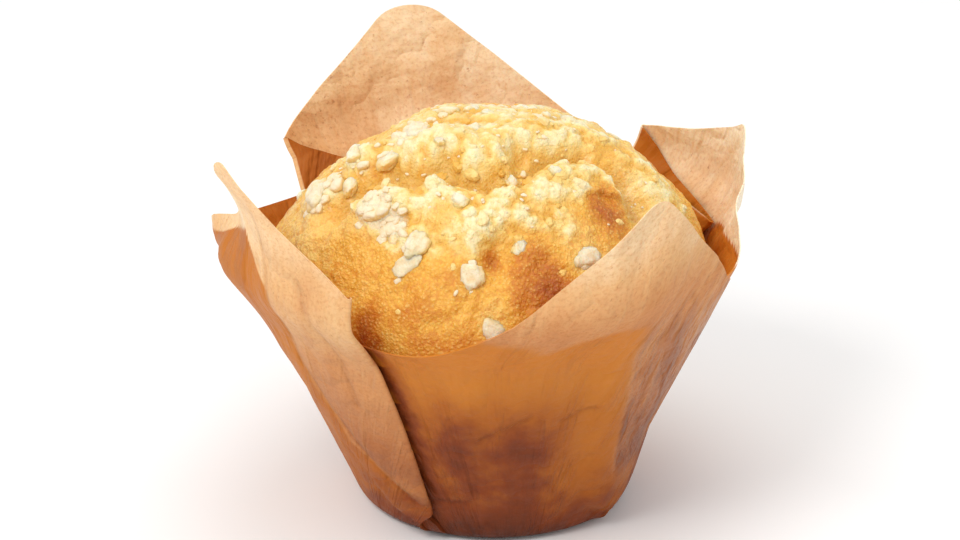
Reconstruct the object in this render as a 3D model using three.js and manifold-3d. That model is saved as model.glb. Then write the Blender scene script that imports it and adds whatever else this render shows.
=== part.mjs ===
// A muffin baked in a tulip paper case. Millimetres, +Z up, origin at the centre of the underside.
// Azimuths are degrees counter-clockwise from +X seen from above; the front of the muffin is -Y.
import * as THREE from "three";
import { mergeVertices } from "three/addons/utils/BufferGeometryUtils.js";
import Module from "manifold-3d";

const DEG = Math.PI / 180;

// ---------------------------------------------------------------- driving dimensions

// The case is one square sheet pressed into a cone: four corners stand up as petals, and the
// surplus paper between them is laid in four three-layer pleats.
const SHEET_HALF = 77; // half the side of the square sheet
const BASE_RADIUS = 24.3; // where the floor turns into the wall
const BASE_TURN = 2.8; // slant taken by that turn, to each side
const WALL_ANGLE = 23.5; // wall from the vertical
const PAPER = 0.6; // thickness, so that the sheet is a solid
const FOOT_ROWS = 0.85; // how much closer the rows of facets lie near the foot
const LAYER_PITCH = 0.92; // from one layer of a pleat to the next
const FLARE_START = 45; // slant where the wall starts to open
const TURN_WIDTH = 7; // slant over which the paper changes direction
const TIP_SPAN = 26; // slant over which a petal's lean goes from its root's to its tip's
const FLAT_SPAN = 35; // slant over which a petal goes from round to flat across

// Petals, in order round the case. Azimuth at the floor and at the rim; how much of the corner
// stands up and its rounding; the slant it stands up from and the flare below that; its lean at the
// root and at the tip; how flat it is across and how many degrees its tip is pulled sideways.
const RIGHT_PETAL = {
  floorAz: 18, rimAz: 27, reach: 0.77, corner: 2.5,
  stand: 56.4, flare: -1, lean: -24, tipLean: 9, flat: 0, skew: -24,
};
const BACK_PETAL = {
  floorAz: 108, rimAz: 104.3, reach: 1.145, corner: 8,
  stand: 59.9, flare: 3.5, lean: -2, tipLean: 10, flat: 0.1, skew: 2.7,
};
const LEFT_PETAL = {
  floorAz: 198, rimAz: 213.3, reach: 1.09, corner: 2.5,
  stand: 56.6, flare: 8, lean: -13, tipLean: 19, flat: 0.1, skew: 0.6,
};
const FRONT_PETAL = {
  floorAz: 288, rimAz: 291.5, reach: 0.97, corner: 4,
  stand: 61.5, flare: 14, lean: -21, tipLean: 3.4, flat: 0.1, skew: 12,
};
const PETALS = [RIGHT_PETAL, BACK_PETAL, LEFT_PETAL, FRONT_PETAL];

// Pleats, each after the petal of the same index: azimuth of its middle at the floor and the rim,
// and the flare and lean of the paper there.
const PLEATS = [
  { floorAz: 52.6, rimAz: 39.8, flare: -1, lean: -25 },
  { floorAz: 165, rimAz: 130, flare: 11.6, lean: -1.4 },
  { floorAz: 250, rimAz: 225.5, flare: 12, lean: -10 },
  { floorAz: 323, rimAz: 318.7, flare: -8, lean: 2 },
];

// Where handling pushed the paper out (or in, below zero): azimuth, slant, half width in degrees,
// half height and depth.
const DENTS = [
  { az: 213, slant: 86, wide: 9, tall: 7, out: 2.6 },
  { az: 197, slant: 69, wide: 11, tall: 6, out: -3.4 },
  { az: 190, slant: 59, wide: 12, tall: 4.5, out: 0.9 },
  { az: 14, slant: 58, wide: 14, tall: 6, out: -2 },
  { az: 350, slant: 56, wide: 10, tall: 6, out: 1.8 },
];

// Where the sheet's outline stands higher or lower, by its own angle from the right corner.
const TRIMS = [
  { turn: 13, wide: 8, rise: 1.6 },
  { turn: 79, wide: 7, rise: 0.6 },
  { turn: 99, wide: 5, rise: 0.6 },
  { turn: 172, wide: 6, rise: -4 },
  { turn: 181, wide: 3, rise: 2.8 },
  { turn: 249, wide: 8.5, rise: -6.5 },
];
const FOLD_TOP = 60; // slant above which the folds run straight up
const SKEW_START = 50; // slant where a petal starts to be pulled sideways
const SKEW_SPAN = 30; // and the slant over which it is pulled by its full angle
const SKEW_MOST = 1.2;
const FOOT_AZ = -24; // where the foot of the case stands out most, and by how much of its radius
const FOOT_FULL = 0.097;
const FOOT_SPREAD = 45;
const FOOT_TOP = 24; // slant where that fades out
const CRUMPLE_START = 44; // slant where the paper starts to be crumpled
const CRUMPLE_SPAN = 24;
const HOLD = 0.25; // share of the way to the next petal over which a petal keeps its own form
const RIM_SLANT = 50; // slant the rim azimuths are given at
const RIM_SHARE_MOST = 1.3; // share of that sweep at which the folds stop turning
const FIRST_STEP = 3; // width of the bare step where a pleat isn't open yet
const LEAST_PLEAT = 2; // least width of an open pleat
const SWEEP = 0.75; // power by which the folds sweep from their floor to their rim azimuth
const PLEAT_START = 3.5; // slant where a pleat starts to lie over
const PLEAT_FULL = 8; // slant where it lies flat
const RAMP_AZ = 12; // azimuth over which a panel climbs on to the pleat it covers

// Cake: a cone inside the case, then a split, craggy dome.
const GAP = 0.35; // between cake and paper
const CAKE_CHAMFER = 3.2; // round its bottom edge
const DOME_Z = 40.5; // centre height of the dome's ellipsoid
const DOME_RADIUS = 43;
const DOME_RISE = 34.5;
const DOME_FACET = 2.3; // edge length of the dome's facets
const BODY_FACET = 6.5;

// The split across the dome, as azimuth and distance from the axis, and its section.
const SPLIT = [
  [213, 36],
  [211, 30],
  [214, 27],
  [219, 22.5],
  [235, 21.5],
  [243, 17.5],
  [254, 19.8],
  [268, 20],
  [283, 19],
  [294, 16.5],
  [316, 16],
  [333, 20],
  [336, 26],
  [332, 31],
  [322, 36],
];
const SPLIT_DEPTH = 4.3;
const SPLIT_WIDTH = 2.7;
const SPLIT_BACK = 0.6; // how far behind its line it is deepest
const LIP_RISE = 2.3; // the torn lip in front of the split, sharp on the split's side
const LIP_AT = 3.4;
const LIP_INNER = 2; // its width on the split's side and on the outer side
const LIP_OUTER = 5.5;
const CROWN_RISE = 2.2; // the crown swelling up behind it
const CROWN_AT = 8;
const CROWN_WIDTH = 4.5;
const SPLIT_FADE = 0.12; // share of the split's length over which it opens and closes
const EDGE_FADE = 5; // how far in from the dome's edge the relief starts
const KNOBS = 110; // low swellings of the crust
const KNOB_RISE = 1;

// The crags and hollows that stand out, as azimuth, distance from the axis, width and rise.
const CRAGS = [
  [155, 30, 13, -2.6],
  [295, 12, 2.4, -2.6],
  [232, 14, 5, 1.2],
  [193, 22.5, 3.2, 1.4],
  [272.6, 33.2, 3, -2.4],
  [266, 30, 3.2, 1.5],
  [211, 31, 3, -1.6],
  [253, 15, 2.2, 1.3],
  [285, 10, 3.2, 1],
  [229, 29, 5, 0.8],
  [337, 31, 6, -1.8],
  [310, 27, 5, 0.9],
];

// Sugar nibs pressed into the dome: the larger ones as azimuth, distance from the axis and half
// width, then smaller ones strewn over the rest.
const LARGE_NIBS = [
  [197, 32, 3.6],
  [198, 13.5, 3.3],
  [265, 35.6, 3],
  [301, 35, 2.9],
  [247, 32.3, 2.6],
  [271.5, 40.8, 2.2],
  [208, 20, 2.3],
  [128, 13, 2.3],
  [246, 35.2, 2.3],
  [195, 24, 1.9],
  [204, 27.5, 1.8],
  [60, 14, 2.6],
  [35, 19, 2],
  [106, 10, 1.8],
];
const SMALL_NIBS = 16;
const SMALL_NIB = [1.7, 1]; // half width, first and last

// ---------------------------------------------------------------- small helpers

const clamp01 = (x) => Math.min(1, Math.max(0, x));

const smooth = (x) => {
  const t = clamp01(x);
  return t * t * (3 - 2 * t);
};

const mix = (a, b, t) => a + (b - a) * t;

/** Repeatable random numbers from 0 to 1 (mulberry32). */
function seeded(seed) {
  let state = seed >>> 0;
  return () => {
    state = (state + 0x6d2b79f5) >>> 0;
    let t = state;
    t = Math.imul(t ^ (t >>> 15), t | 1);
    t ^= t + Math.imul(t ^ (t >>> 7), t | 61);
    return ((t ^ (t >>> 14)) >>> 0) / 4294967296;
  };
}

/** Value round the case at an azimuth, eased between the petals' own values and the pleats' too. */
function around(azimuth, key) {
  const turn = ((azimuth % 360) + 360) % 360;
  const spots = PETALS.flatMap((petal, k) => [petal, PLEATS[k]]).filter((spot) => key in spot);
  const hold = spots.length === PETALS.length ? HOLD : 0;
  for (let k = 0; k < spots.length; k += 1) {
    const here = spots[k];
    const next = spots[(k + 1) % spots.length];
    const span = (next.rimAz - here.rimAz + 360) % 360;
    const along = (turn - here.rimAz + 360) % 360;
    if (along <= span) {
      return mix(here[key], next[key], smooth((along / span - hold) / (1 - 2 * hold)));
    }
  }
  return spots[0][key];
}

/** Degrees from one azimuth to another, from -180 to 180. */
const turnBetween = (from, to) => ((((to - from) % 360) + 540) % 360) - 180;

function meshOf(name, geometry, color, roughness) {
  const material = new THREE.MeshStandardMaterial({ color, roughness, metalness: 0 });
  const mesh = new THREE.Mesh(geometry, material);
  mesh.name = name;
  return mesh;
}

function geometryOf(points, triangles) {
  const geometry = new THREE.BufferGeometry();
  const flat = new Float32Array(points.length * 3);
  points.forEach((p, i) => flat.set([p.x, p.y, p.z], 3 * i));
  geometry.setAttribute("position", new THREE.BufferAttribute(flat, 3));
  geometry.setIndex(triangles);
  return geometry;
}

// ---------------------------------------------------------------- paper case

/** Angle of the paper from the vertical at a slant, for what holds at one azimuth. */
function leanAt({ flare, stand, lean, tipLean }, slant) {
  const wall = mix(90, WALL_ANGLE, smooth((slant + BASE_TURN) / (2 * BASE_TURN)));
  const open = smooth((slant - FLARE_START) / TURN_WIDTH) * flare;
  const petal = mix(lean, tipLean, smooth((slant - stand) / TIP_SPAN));
  return mix(wall + open, petal, smooth((slant - stand) / TURN_WIDTH));
}

/** Radius and height of the paper's middle at an azimuth and slant, by adding up short steps. */
function profileAt(azimuth, slant) {
  const here = {};
  for (const key of ["flare", "stand", "lean", "tipLean"]) {
    here[key] = around(azimuth, key);
  }
  let radius = BASE_RADIUS - BASE_TURN;
  let height = PAPER / 2;
  const steps = Math.max(1, Math.ceil((slant + BASE_TURN) / 1.2));
  const step = (slant + BASE_TURN) / steps;
  for (let i = 0; i < steps; i += 1) {
    const lean = leanAt(here, -BASE_TURN + (i + 0.5) * step);
    radius += step * Math.sin(lean * DEG);
    height += step * Math.cos(lean * DEG);
  }
  return { radius, height, lean: leanAt(here, slant) };
}

const coneRadius = (slant) => BASE_RADIUS + Math.max(0, slant) * Math.sin(WALL_ANGLE * DEG);

const rimShare = (slant) => Math.min(RIM_SHARE_MOST, (Math.max(0, slant) / RIM_SLANT) ** SWEEP);

function petalAzimuth(k, slant) {
  const petal = PETALS[k % 4];
  return mix(petal.floorAz, petal.rimAz, rimShare(slant)) + 360 * Math.floor(k / 4);
}

function pleatAzimuth(k, slant) {
  const pleat = PLEATS[(k + 4) % 4];
  return mix(pleat.floorAz, pleat.rimAz, rimShare(slant)) + 360 * Math.floor(k / 4);
}

/** Width of pleat k: half the paper left over between its two petals. Below zero it is a bare step. */
function pleatWidth(k, slant) {
  const between = petalAzimuth(k + 1 + (k < 0 ? 4 : 0), slant) - petalAzimuth(k + (k < 0 ? 4 : 0), slant);
  const quarter = (BASE_RADIUS + slant) * Math.PI * 0.5;
  const spare = (quarter - coneRadius(slant) * between * DEG) / 2;
  const open = smooth((slant - PLEAT_START) / (PLEAT_FULL - PLEAT_START));
  return mix(-FIRST_STEP, Math.max(LEAST_PLEAT, spare), open);
}

/** Slant of the sheet's rounded outline at its own angle, in degrees from the right corner. */
function sheetEdge(turn) {
  const k = Math.round(turn / 90);
  const bend = PETALS[(k + 4) % 4].corner;
  const away = Math.abs(turn - 90 * k) * DEG;
  const centre = (SHEET_HALF - bend) * Math.SQRT2;
  const touch = 45 * DEG - Math.atan2(SHEET_HALF - bend, SHEET_HALF);
  if (away < touch) {
    return centre * Math.cos(away) + Math.sqrt(bend ** 2 - (centre * Math.sin(away)) ** 2) - BASE_RADIUS;
  }
  return SHEET_HALF / Math.cos(45 * DEG - away) - BASE_RADIUS;
}

/** Slow waves of paper that has been handled, out from the wall. */
function crumple(azimuth, slant) {
  const amount = smooth((slant - CRUMPLE_START) / CRUMPLE_SPAN);
  const a = azimuth * DEG;
  const wave = 0.55 * Math.sin(5 * a + 0.06 * slant + 1.3) + 0.35 * Math.sin(9 * a - 0.11 * slant);
  return amount * (0.7 + wave);
}

/** Depth of the dents at an azimuth and slant, out from the wall. */
function dented(azimuth, slant) {
  return DENTS.reduce((sum, dent) => {
    const across = turnBetween(dent.az, azimuth) / dent.wide;
    const along = (slant - dent.slant) / dent.tall;
    return sum + dent.out * Math.exp(-(across ** 2) - along ** 2);
  }, 0);
}

/** Point of the sheet's middle: azimuth, slant and how far it is lifted off the innermost layer. */
function casePoint(unpulled, slant, lift) {
  const pull = Math.min(SKEW_MOST, Math.max(0, (slant - SKEW_START) / SKEW_SPAN));
  const azimuth = unpulled + around(unpulled, "skew") * pull;
  const { radius, height, lean } = profileAt(azimuth, slant);
  const out = lift + crumple(azimuth, slant) + dented(unpulled, slant);
  const foot = Math.exp(-((turnBetween(FOOT_AZ, azimuth) / FOOT_SPREAD) ** 2));
  const fuller = FOOT_FULL * foot * (1 - smooth(slant / FOOT_TOP));
  const r = (radius + out * Math.cos(lean * DEG)) * (1 + fuller);
  const z = height - out * Math.sin(lean * DEG);
  const offs = PETALS.map((petal) => turnBetween(petal.rimAz, azimuth));
  const off = offs.reduce((best, each) => (Math.abs(each) < Math.abs(best) ? each : best));
  const axis = azimuth - off;
  const bend = 1 - around(azimuth, "flat") * smooth((slant - FLARE_START) / FLAT_SPAN);
  const x = r - (r / bend) * (1 - Math.cos(bend * off * DEG));
  const y = (r / bend) * Math.sin(bend * off * DEG);
  const c = Math.cos(axis * DEG);
  const s = Math.sin(axis * DEG);
  return new THREE.Vector3(x * c - y * s, x * s + y * c, z);
}

/** Columns of the sheet round the case: panels joined by the two turns of each pleat. */
function caseColumns(perPanel, perTurn, perMiddle) {
  const columns = [];
  for (let k = 0; k < 4; k += 1) {
    const from = columnAt({ kind: "panel", k, u: 0 }, 80).turn;
    const to = columnAt({ kind: "panel", k, u: 1 }, 80).turn;
    const tip = (90 * k - from) / (to - from);
    const before = Math.round(perPanel * 0.62);
    for (let i = 0; i < before; i += 1) {
      columns.push({ kind: "panel", k, u: tip * Math.sin((i / before) * 90 * DEG) });
    }
    for (let i = 0; i <= perPanel - before; i += 1) {
      const share = i / (perPanel - before);
      columns.push({ kind: "panel", k, u: mix(tip, 1, share ** 1.35) });
    }
    for (let i = 1; i < perTurn; i += 1) {
      columns.push({ kind: "outer", k, u: i / perTurn });
    }
    for (let i = 0; i <= perMiddle; i += 1) {
      columns.push({ kind: "middle", k, u: i / perMiddle });
    }
    for (let i = 1; i < perTurn; i += 1) {
      columns.push({ kind: "inner", k, u: i / perTurn });
    }
  }
  return columns;
}

/** Azimuth, lift and angle on the flat sheet of one column at one slant. */
function columnAt(column, upSlant) {
  const { kind, k, u } = column;
  const slant = Math.min(upSlant, FOLD_TOP);
  const radius = coneRadius(slant);
  const degPerMm = 1 / (radius * DEG);
  const pitch = LAYER_PITCH * smooth(slant / PLEAT_START);
  const sheetRadius = BASE_RADIUS + Math.max(0, upSlant);
  const width = pleatWidth(k, slant);
  const middle = pleatAzimuth(k, slant);
  const end = middle + (width / 2) * degPerMm;
  const start = middle - (width / 2) * degPerMm;
  const here = petalAzimuth(k, slant);
  const next = petalAzimuth(k + 1, slant);
  const shrink = radius / sheetRadius;
  const endTurn = 90 * k + (end - here) * shrink;
  const startTurn = 90 * (k + 1) + (start - next) * shrink;
  if (kind === "panel") {
    const from = pleatAzimuth(k - 1, slant) - (pleatWidth(k - 1, slant) / 2) * degPerMm;
    const azimuth = mix(from, end, u);
    const climb = smooth((azimuth - (start - RAMP_AZ)) / (RAMP_AZ - 2 * degPerMm));
    return { azimuth, lift: 2 * pitch * climb, turn: 90 * k + (azimuth - here) * shrink };
  }
  const lie = smooth((slant - PLEAT_START) / (PLEAT_FULL - PLEAT_START));
  const bulge = (LAYER_PITCH / 2) * lie * degPerMm;
  const half = Math.PI * u;
  if (kind === "outer") {
    const azimuth = end + bulge * Math.sin(half);
    return { azimuth, lift: pitch * (1.5 + 0.5 * Math.cos(half)), turn: endTurn };
  }
  if (kind === "middle") {
    return { azimuth: mix(end, start, u), lift: pitch, turn: mix(endTurn, startTurn, u) };
  }
  const azimuth = start - bulge * Math.sin(half);
  return { azimuth, lift: pitch * (0.5 + 0.5 * Math.cos(half)), turn: startTurn };
}

/** Slant of the free edge on a column, by halving. */
function columnTop(column) {
  const low = SHEET_HALF - BASE_RADIUS;
  let [under, over] = [46, 100];
  for (let i = 0; i < 30; i += 1) {
    const slant = (under + over) / 2;
    const { azimuth, turn } = columnAt(column, slant);
    const cut = TRIMS.reduce((sum, trim) => {
      const across = turnBetween(trim.turn, turn) / trim.wide;
      return sum + trim.rise * Math.exp(-(across ** 2));
    }, 0);
    if (low + (sheetEdge(turn) - low) * around(azimuth, "reach") + cut > slant) {
      under = slant;
    } else {
      over = slant;
    }
  }
  return under;
}

/** One closed solid from a ring of columns: both faces of the sheet, its free edge and its floor. */
function paperCase() {
  const columns = caseColumns(13, 4, 2);
  const rows = 15;
  const tops = columns.map(columnTop);
  const grid = [];
  for (let i = 0; i <= rows; i += 1) {
    const share = (i / rows) * mix(FOOT_ROWS, 1, smooth(i / rows / 0.4));
    grid.push(
      columns.map((column, j) => {
        const slant = mix(-BASE_TURN, tops[j], share);
        const { azimuth, lift } = columnAt(column, slant);
        return casePoint(azimuth, slant, lift);
      }),
    );
  }
  return sheetSolid(grid, PAPER);
}

/** Unit normals of a closed ring grid, out from the axis. */
function gridNormals(grid) {
  const n = grid[0].length;
  return grid.map((row, i) =>
    row.map((p, j) => {
      const left = p.clone().sub(row[(j + n - 1) % n]).normalize();
      const right = row[(j + 1) % n].clone().sub(p).normalize();
      const across = left.add(right);
      const below = i > 0 ? p.clone().sub(grid[i - 1][j]).normalize() : new THREE.Vector3();
      const above = i < grid.length - 1 ? grid[i + 1][j].clone().sub(p).normalize() : new THREE.Vector3();
      return across.cross(below.add(above)).normalize();
    }),
  );
}

function sheetSolid(grid, thickness) {
  const normals = gridNormals(grid);
  const n = grid[0].length;
  const m = grid.length;
  const points = [];
  for (const side of [0.5, -0.5]) {
    grid.forEach((row, i) => {
      row.forEach((p, j) => {
        const normal = i === 0 ? new THREE.Vector3(0, 0, -1) : normals[i][j];
        points.push(p.clone().addScaledVector(normal, side * thickness));
      });
    });
  }
  const at = (side, i, j) => side * n * m + i * n + (j % n);
  const triangles = [];
  for (let i = 0; i < m - 1; i += 1) {
    for (let j = 0; j < n; j += 1) {
      const [a, b, c, d] = [at(0, i, j), at(0, i, j + 1), at(0, i + 1, j + 1), at(0, i + 1, j)];
      triangles.push(a, b, c, a, c, d);
      const [e, f, g, h] = [at(1, i, j), at(1, i, j + 1), at(1, i + 1, j + 1), at(1, i + 1, j)];
      triangles.push(e, g, f, e, h, g);
    }
  }
  const floorOut = points.push(new THREE.Vector3(0, 0, 0)) - 1;
  const floorIn = points.push(new THREE.Vector3(0, 0, thickness)) - 1;
  for (let j = 0; j < n; j += 1) {
    triangles.push(floorOut, at(0, 0, j + 1), at(0, 0, j));
    triangles.push(floorIn, at(1, 0, j), at(1, 0, j + 1));
    triangles.push(at(0, m - 1, j), at(0, m - 1, j + 1), at(1, m - 1, j + 1));
    triangles.push(at(0, m - 1, j), at(1, m - 1, j + 1), at(1, m - 1, j));
  }
  return geometryOf(points, triangles);
}

// ---------------------------------------------------------------- cake

/** Distance from a plan point to the split, positive outside it, and how far along it lies. */
function splitAt(x, y) {
  let best = { distance: 1e9, along: 0 };
  for (let i = 0; i + 1 < SPLIT.length; i += 1) {
    const [az0, r0] = SPLIT[i];
    const [az1, r1] = SPLIT[i + 1];
    const ax = r0 * Math.cos(az0 * DEG);
    const ay = r0 * Math.sin(az0 * DEG);
    const dx = r1 * Math.cos(az1 * DEG) - ax;
    const dy = r1 * Math.sin(az1 * DEG) - ay;
    const t = clamp01(((x - ax) * dx + (y - ay) * dy) / (dx * dx + dy * dy));
    const ox = x - ax - t * dx;
    const oy = y - ay - t * dy;
    const distance = Math.hypot(ox, oy);
    if (distance < Math.abs(best.distance)) {
      const outside = dx * oy - dy * ox < 0 ? 1 : -1;
      best = { distance: outside * distance, along: (i + t) / (SPLIT.length - 1) };
    }
  }
  return best;
}

/** The crust's low swellings, strewn evenly over the dome in plan, and its crags. */
function strewKnobs() {
  const random = seeded(11);
  const knobs = [];
  for (let i = 0; i < KNOBS; i += 1) {
    const r = DOME_RADIUS * Math.sqrt(random());
    const a = 2 * Math.PI * random();
    const width = mix(2.2, 5.5, random() ** 1.5);
    const y = r * Math.sin(a);
    const rough = mix(0.6, 1.2, smooth((y + 22) / 16));
    const rise = KNOB_RISE * rough * mix(-0.6, 1, random());
    knobs.push({ x: r * Math.cos(a), y, width, rise });
  }
  const crags = CRAGS.map(([az, r, width, rise]) => {
    return { x: r * Math.cos(az * DEG), y: r * Math.sin(az * DEG), width, rise };
  });
  return [...knobs, ...crags];
}

const knobs = strewKnobs();

/** How far the crust stands out from the plain dome at a plan point. */
function relief(x, y) {
  const { distance, along } = splitAt(x, y);
  const inSplit = smooth(along / SPLIT_FADE) * smooth((1 - along) / SPLIT_FADE);
  const valley = -SPLIT_DEPTH * Math.exp(-(((distance + SPLIT_BACK) / SPLIT_WIDTH) ** 2));
  const lipWidth = distance < LIP_AT ? LIP_INNER : LIP_OUTER;
  const lip = LIP_RISE * Math.exp(-(((distance - LIP_AT) / lipWidth) ** 2));
  const crown = CROWN_RISE * Math.exp(-(((distance + CROWN_AT) / CROWN_WIDTH) ** 2));
  let swell = 0;
  knobs.forEach((knob) => {
    const d2 = ((x - knob.x) ** 2 + (y - knob.y) ** 2) / knob.width ** 2;
    if (d2 < 9) {
      swell += knob.rise * Math.exp(-d2);
    }
  });
  const edge = smooth((DOME_RADIUS - Math.hypot(x, y)) / EDGE_FADE);
  return edge * (inSplit * (valley + lip + crown) + swell);
}

/** Point of the dome at a plan azimuth and at a tilt from its top, with its outward direction. */
function domePoint(azimuth, tilt) {
  const c = Math.cos(azimuth);
  const s = Math.sin(azimuth);
  const r = DOME_RADIUS * Math.sin(tilt);
  const normal = new THREE.Vector3(
    (Math.sin(tilt) / DOME_RADIUS) * c,
    (Math.sin(tilt) / DOME_RADIUS) * s,
    Math.cos(tilt) / DOME_RISE,
  ).normalize();
  const point = new THREE.Vector3(r * c, r * s, DOME_Z + DOME_RISE * Math.cos(tilt));
  point.addScaledVector(normal, relief(point.x, point.y));
  return { point, normal };
}

/** Inside of the paper at a height, less the gap: the cake's own wall. */
function cakeWall(z) {
  const c = Math.cos(WALL_ANGLE * DEG);
  return BASE_RADIUS + z * Math.tan(WALL_ANGLE * DEG) - (PAPER / 2 + GAP) / c - 0.3;
}

/** Rings of points from the top of the dome down to the floor, each with as many as it needs. */
function cakeRings() {
  const rings = [[domePoint(0, 0).point]];
  let tilt = 0;
  let z = DOME_Z + DOME_RISE;
  for (;;) {
    const c = Math.cos(tilt + 0.02);
    const s = Math.sin(tilt + 0.02);
    tilt += (DOME_FACET * 0.87) / Math.hypot(DOME_RADIUS * c, DOME_RISE * s);
    z = DOME_Z + DOME_RISE * Math.cos(tilt);
    const r = DOME_RADIUS * Math.sin(tilt);
    if (tilt > 90 * DEG || r > cakeWall(z)) {
      break;
    }
    const count = Math.max(6, Math.round((2 * Math.PI * r) / DOME_FACET));
    rings.push(ringOf(count, rings.length, (azimuth) => domePoint(azimuth, tilt).point));
  }
  const low = PAPER + GAP + CAKE_CHAMFER;
  const steps = 6;
  for (let i = 1; i <= steps; i += 1) {
    const height = mix(z - 1, low, i / steps);
    const r = cakeWall(height) - (i === steps ? 0.4 : 0);
    const count = Math.round((2 * Math.PI * r) / mix(DOME_FACET * 1.5, BODY_FACET, i / steps));
    rings.push(ringOf(count, i, (a) => new THREE.Vector3(r * Math.cos(a), r * Math.sin(a), height)));
  }
  const floor = PAPER + GAP;
  const r = BASE_RADIUS - CAKE_CHAMFER;
  const count = Math.round((2 * Math.PI * r) / BODY_FACET);
  rings.push(ringOf(count, 0, (a) => new THREE.Vector3(r * Math.cos(a), r * Math.sin(a), floor)));
  rings.push([new THREE.Vector3(0, 0, floor)]);
  return rings;
}

function ringOf(count, index, at) {
  const turn = (index % 2) * 0.5;
  return Array.from({ length: count }, (_, i) => at((2 * Math.PI * (i + turn)) / count));
}

/** Closed skin over a stack of rings, zipping neighbours of different counts together. */
function skinRings(rings) {
  const points = [];
  const first = rings.map((ring) => {
    const at = points.length;
    points.push(...ring);
    return at;
  });
  const azimuthOf = (p) => Math.atan2(p.y, p.x);
  const triangles = [];
  for (let k = 0; k + 1 < rings.length; k += 1) {
    const upper = rings[k];
    const lower = rings[k + 1];
    const up = (i) => first[k] + (i % upper.length);
    const down = (j) => first[k + 1] + (j % lower.length);
    const lag = (ring, i) => (azimuthOf(ring[0]) + 2 * Math.PI * (i / ring.length));
    let i = 0;
    let j = 0;
    const iEnd = upper.length > 1 ? upper.length : 0;
    const jEnd = lower.length > 1 ? lower.length : 0;
    while (i < iEnd || j < jEnd) {
      const nextUp = i < iEnd ? lag(upper, i + 1) : Infinity;
      const nextDown = j < jEnd ? lag(lower, j + 1) : Infinity;
      if (nextUp < nextDown) {
        triangles.push(up(i), down(j), up(i + 1));
        i += 1;
      } else {
        triangles.push(up(i), down(j), down(j + 1));
        j += 1;
      }
    }
  }
  return geometryOf(points, triangles);
}

/** One sugar nib: a knocked-about block with rounded corners. */
function nibGeometry(half, random) {
  const nib = new THREE.IcosahedronGeometry(1, 0);
  nib.deleteAttribute("normal");
  nib.deleteAttribute("uv");
  const merged = mergeVertices(nib, 1e-4);
  const position = merged.getAttribute("position");
  for (let i = 0; i < position.count; i += 1) {
    const knock = mix(0.86, 1.12, random());
    position.setXYZ(i, position.getX(i) * knock, position.getY(i) * knock, position.getZ(i) * knock);
  }
  merged.scale(half * mix(0.85, 1.15, random()), half * mix(0.75, 1, random()), half * 0.72);
  merged.rotateZ(2 * Math.PI * random());
  return merged;
}

/** Where the nibs lie: the large ones, then small ones wherever there is room. */
function nibPlaces() {
  const places = LARGE_NIBS.map(([az, r, half]) => ({ az: az * DEG, r, half }));
  const random = seeded(5);
  while (places.length < LARGE_NIBS.length + SMALL_NIBS) {
    const share = (places.length - LARGE_NIBS.length) / (SMALL_NIBS - 1);
    const half = mix(SMALL_NIB[0], SMALL_NIB[1], share);
    const place = { az: 2 * Math.PI * random(), r: 37 * Math.sqrt(random()), half };
    const clear = places.every((other) => {
      const dx = place.r * Math.cos(place.az) - other.r * Math.cos(other.az);
      const dy = place.r * Math.sin(place.az) - other.r * Math.sin(other.az);
      return Math.hypot(dx, dy) > (place.half + other.half) * 1.5;
    });
    if (clear) {
      places.push(place);
    }
  }
  return places;
}

function solidOf(wasm, geometry) {
  return new wasm.Manifold(
    new wasm.Mesh({
      numProp: 3,
      vertProperties: new Float32Array(geometry.getAttribute("position").array),
      triVerts: new Uint32Array(geometry.index.array),
    }),
  );
}

/** The cake with its nibs fused on. */
async function muffin() {
  const wasm = await Module();
  wasm.setup();
  let solid = solidOf(wasm, skinRings(cakeRings()));
  const random = seeded(23);
  nibPlaces().forEach((place) => {
    const tilt = Math.asin(place.r / DOME_RADIUS);
    const { point, normal } = domePoint(place.az, tilt);
    const nib = nibGeometry(place.half, random);
    const turn = new THREE.Quaternion().setFromUnitVectors(new THREE.Vector3(0, 0, 1), normal);
    nib.applyQuaternion(turn);
    const at = point.addScaledVector(normal, place.half * 0.12);
    nib.translate(at.x, at.y, at.z);
    solid = solid.add(solidOf(wasm, nib));
  });
  const mesh = solid.getMesh();
  const geometry = new THREE.BufferGeometry();
  geometry.setAttribute("position", new THREE.BufferAttribute(new Float32Array(mesh.vertProperties), 3));
  geometry.setIndex(Array.from(mesh.triVerts));
  return geometry;
}

const group = new THREE.Group();
group.add(meshOf("paper_case", paperCase(), 0xd9a56c, 0.75));
group.add(meshOf("muffin", await muffin(), 0xe6bd6e, 0.8));
export default group;
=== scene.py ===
"""A muffin in a tulip paper case: the looks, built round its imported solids."""

import logging
import math
from collections.abc import Callable, Iterator
from dataclasses import dataclass, field
from enum import IntEnum

import bpy
import numpy as np
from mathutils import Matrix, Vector


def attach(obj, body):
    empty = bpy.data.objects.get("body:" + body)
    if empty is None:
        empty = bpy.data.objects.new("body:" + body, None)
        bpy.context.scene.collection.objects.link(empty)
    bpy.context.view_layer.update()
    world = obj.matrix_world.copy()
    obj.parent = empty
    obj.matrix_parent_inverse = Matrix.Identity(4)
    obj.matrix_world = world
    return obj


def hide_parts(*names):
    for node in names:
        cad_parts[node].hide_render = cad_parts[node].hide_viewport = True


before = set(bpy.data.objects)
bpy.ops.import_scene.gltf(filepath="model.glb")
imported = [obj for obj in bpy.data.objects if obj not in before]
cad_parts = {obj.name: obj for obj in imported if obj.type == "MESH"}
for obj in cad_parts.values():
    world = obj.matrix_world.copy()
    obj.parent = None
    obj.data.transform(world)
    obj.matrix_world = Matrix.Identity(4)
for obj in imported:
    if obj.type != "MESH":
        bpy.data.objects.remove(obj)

LOG = logging.getLogger("muffin")
MM = 0.001
WORD = 0xFFFFFFFF
Array = np.ndarray
Table = tuple[tuple[float, ...], ...]
Lump = tuple[float, float, float]


# ---- numbers

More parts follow.
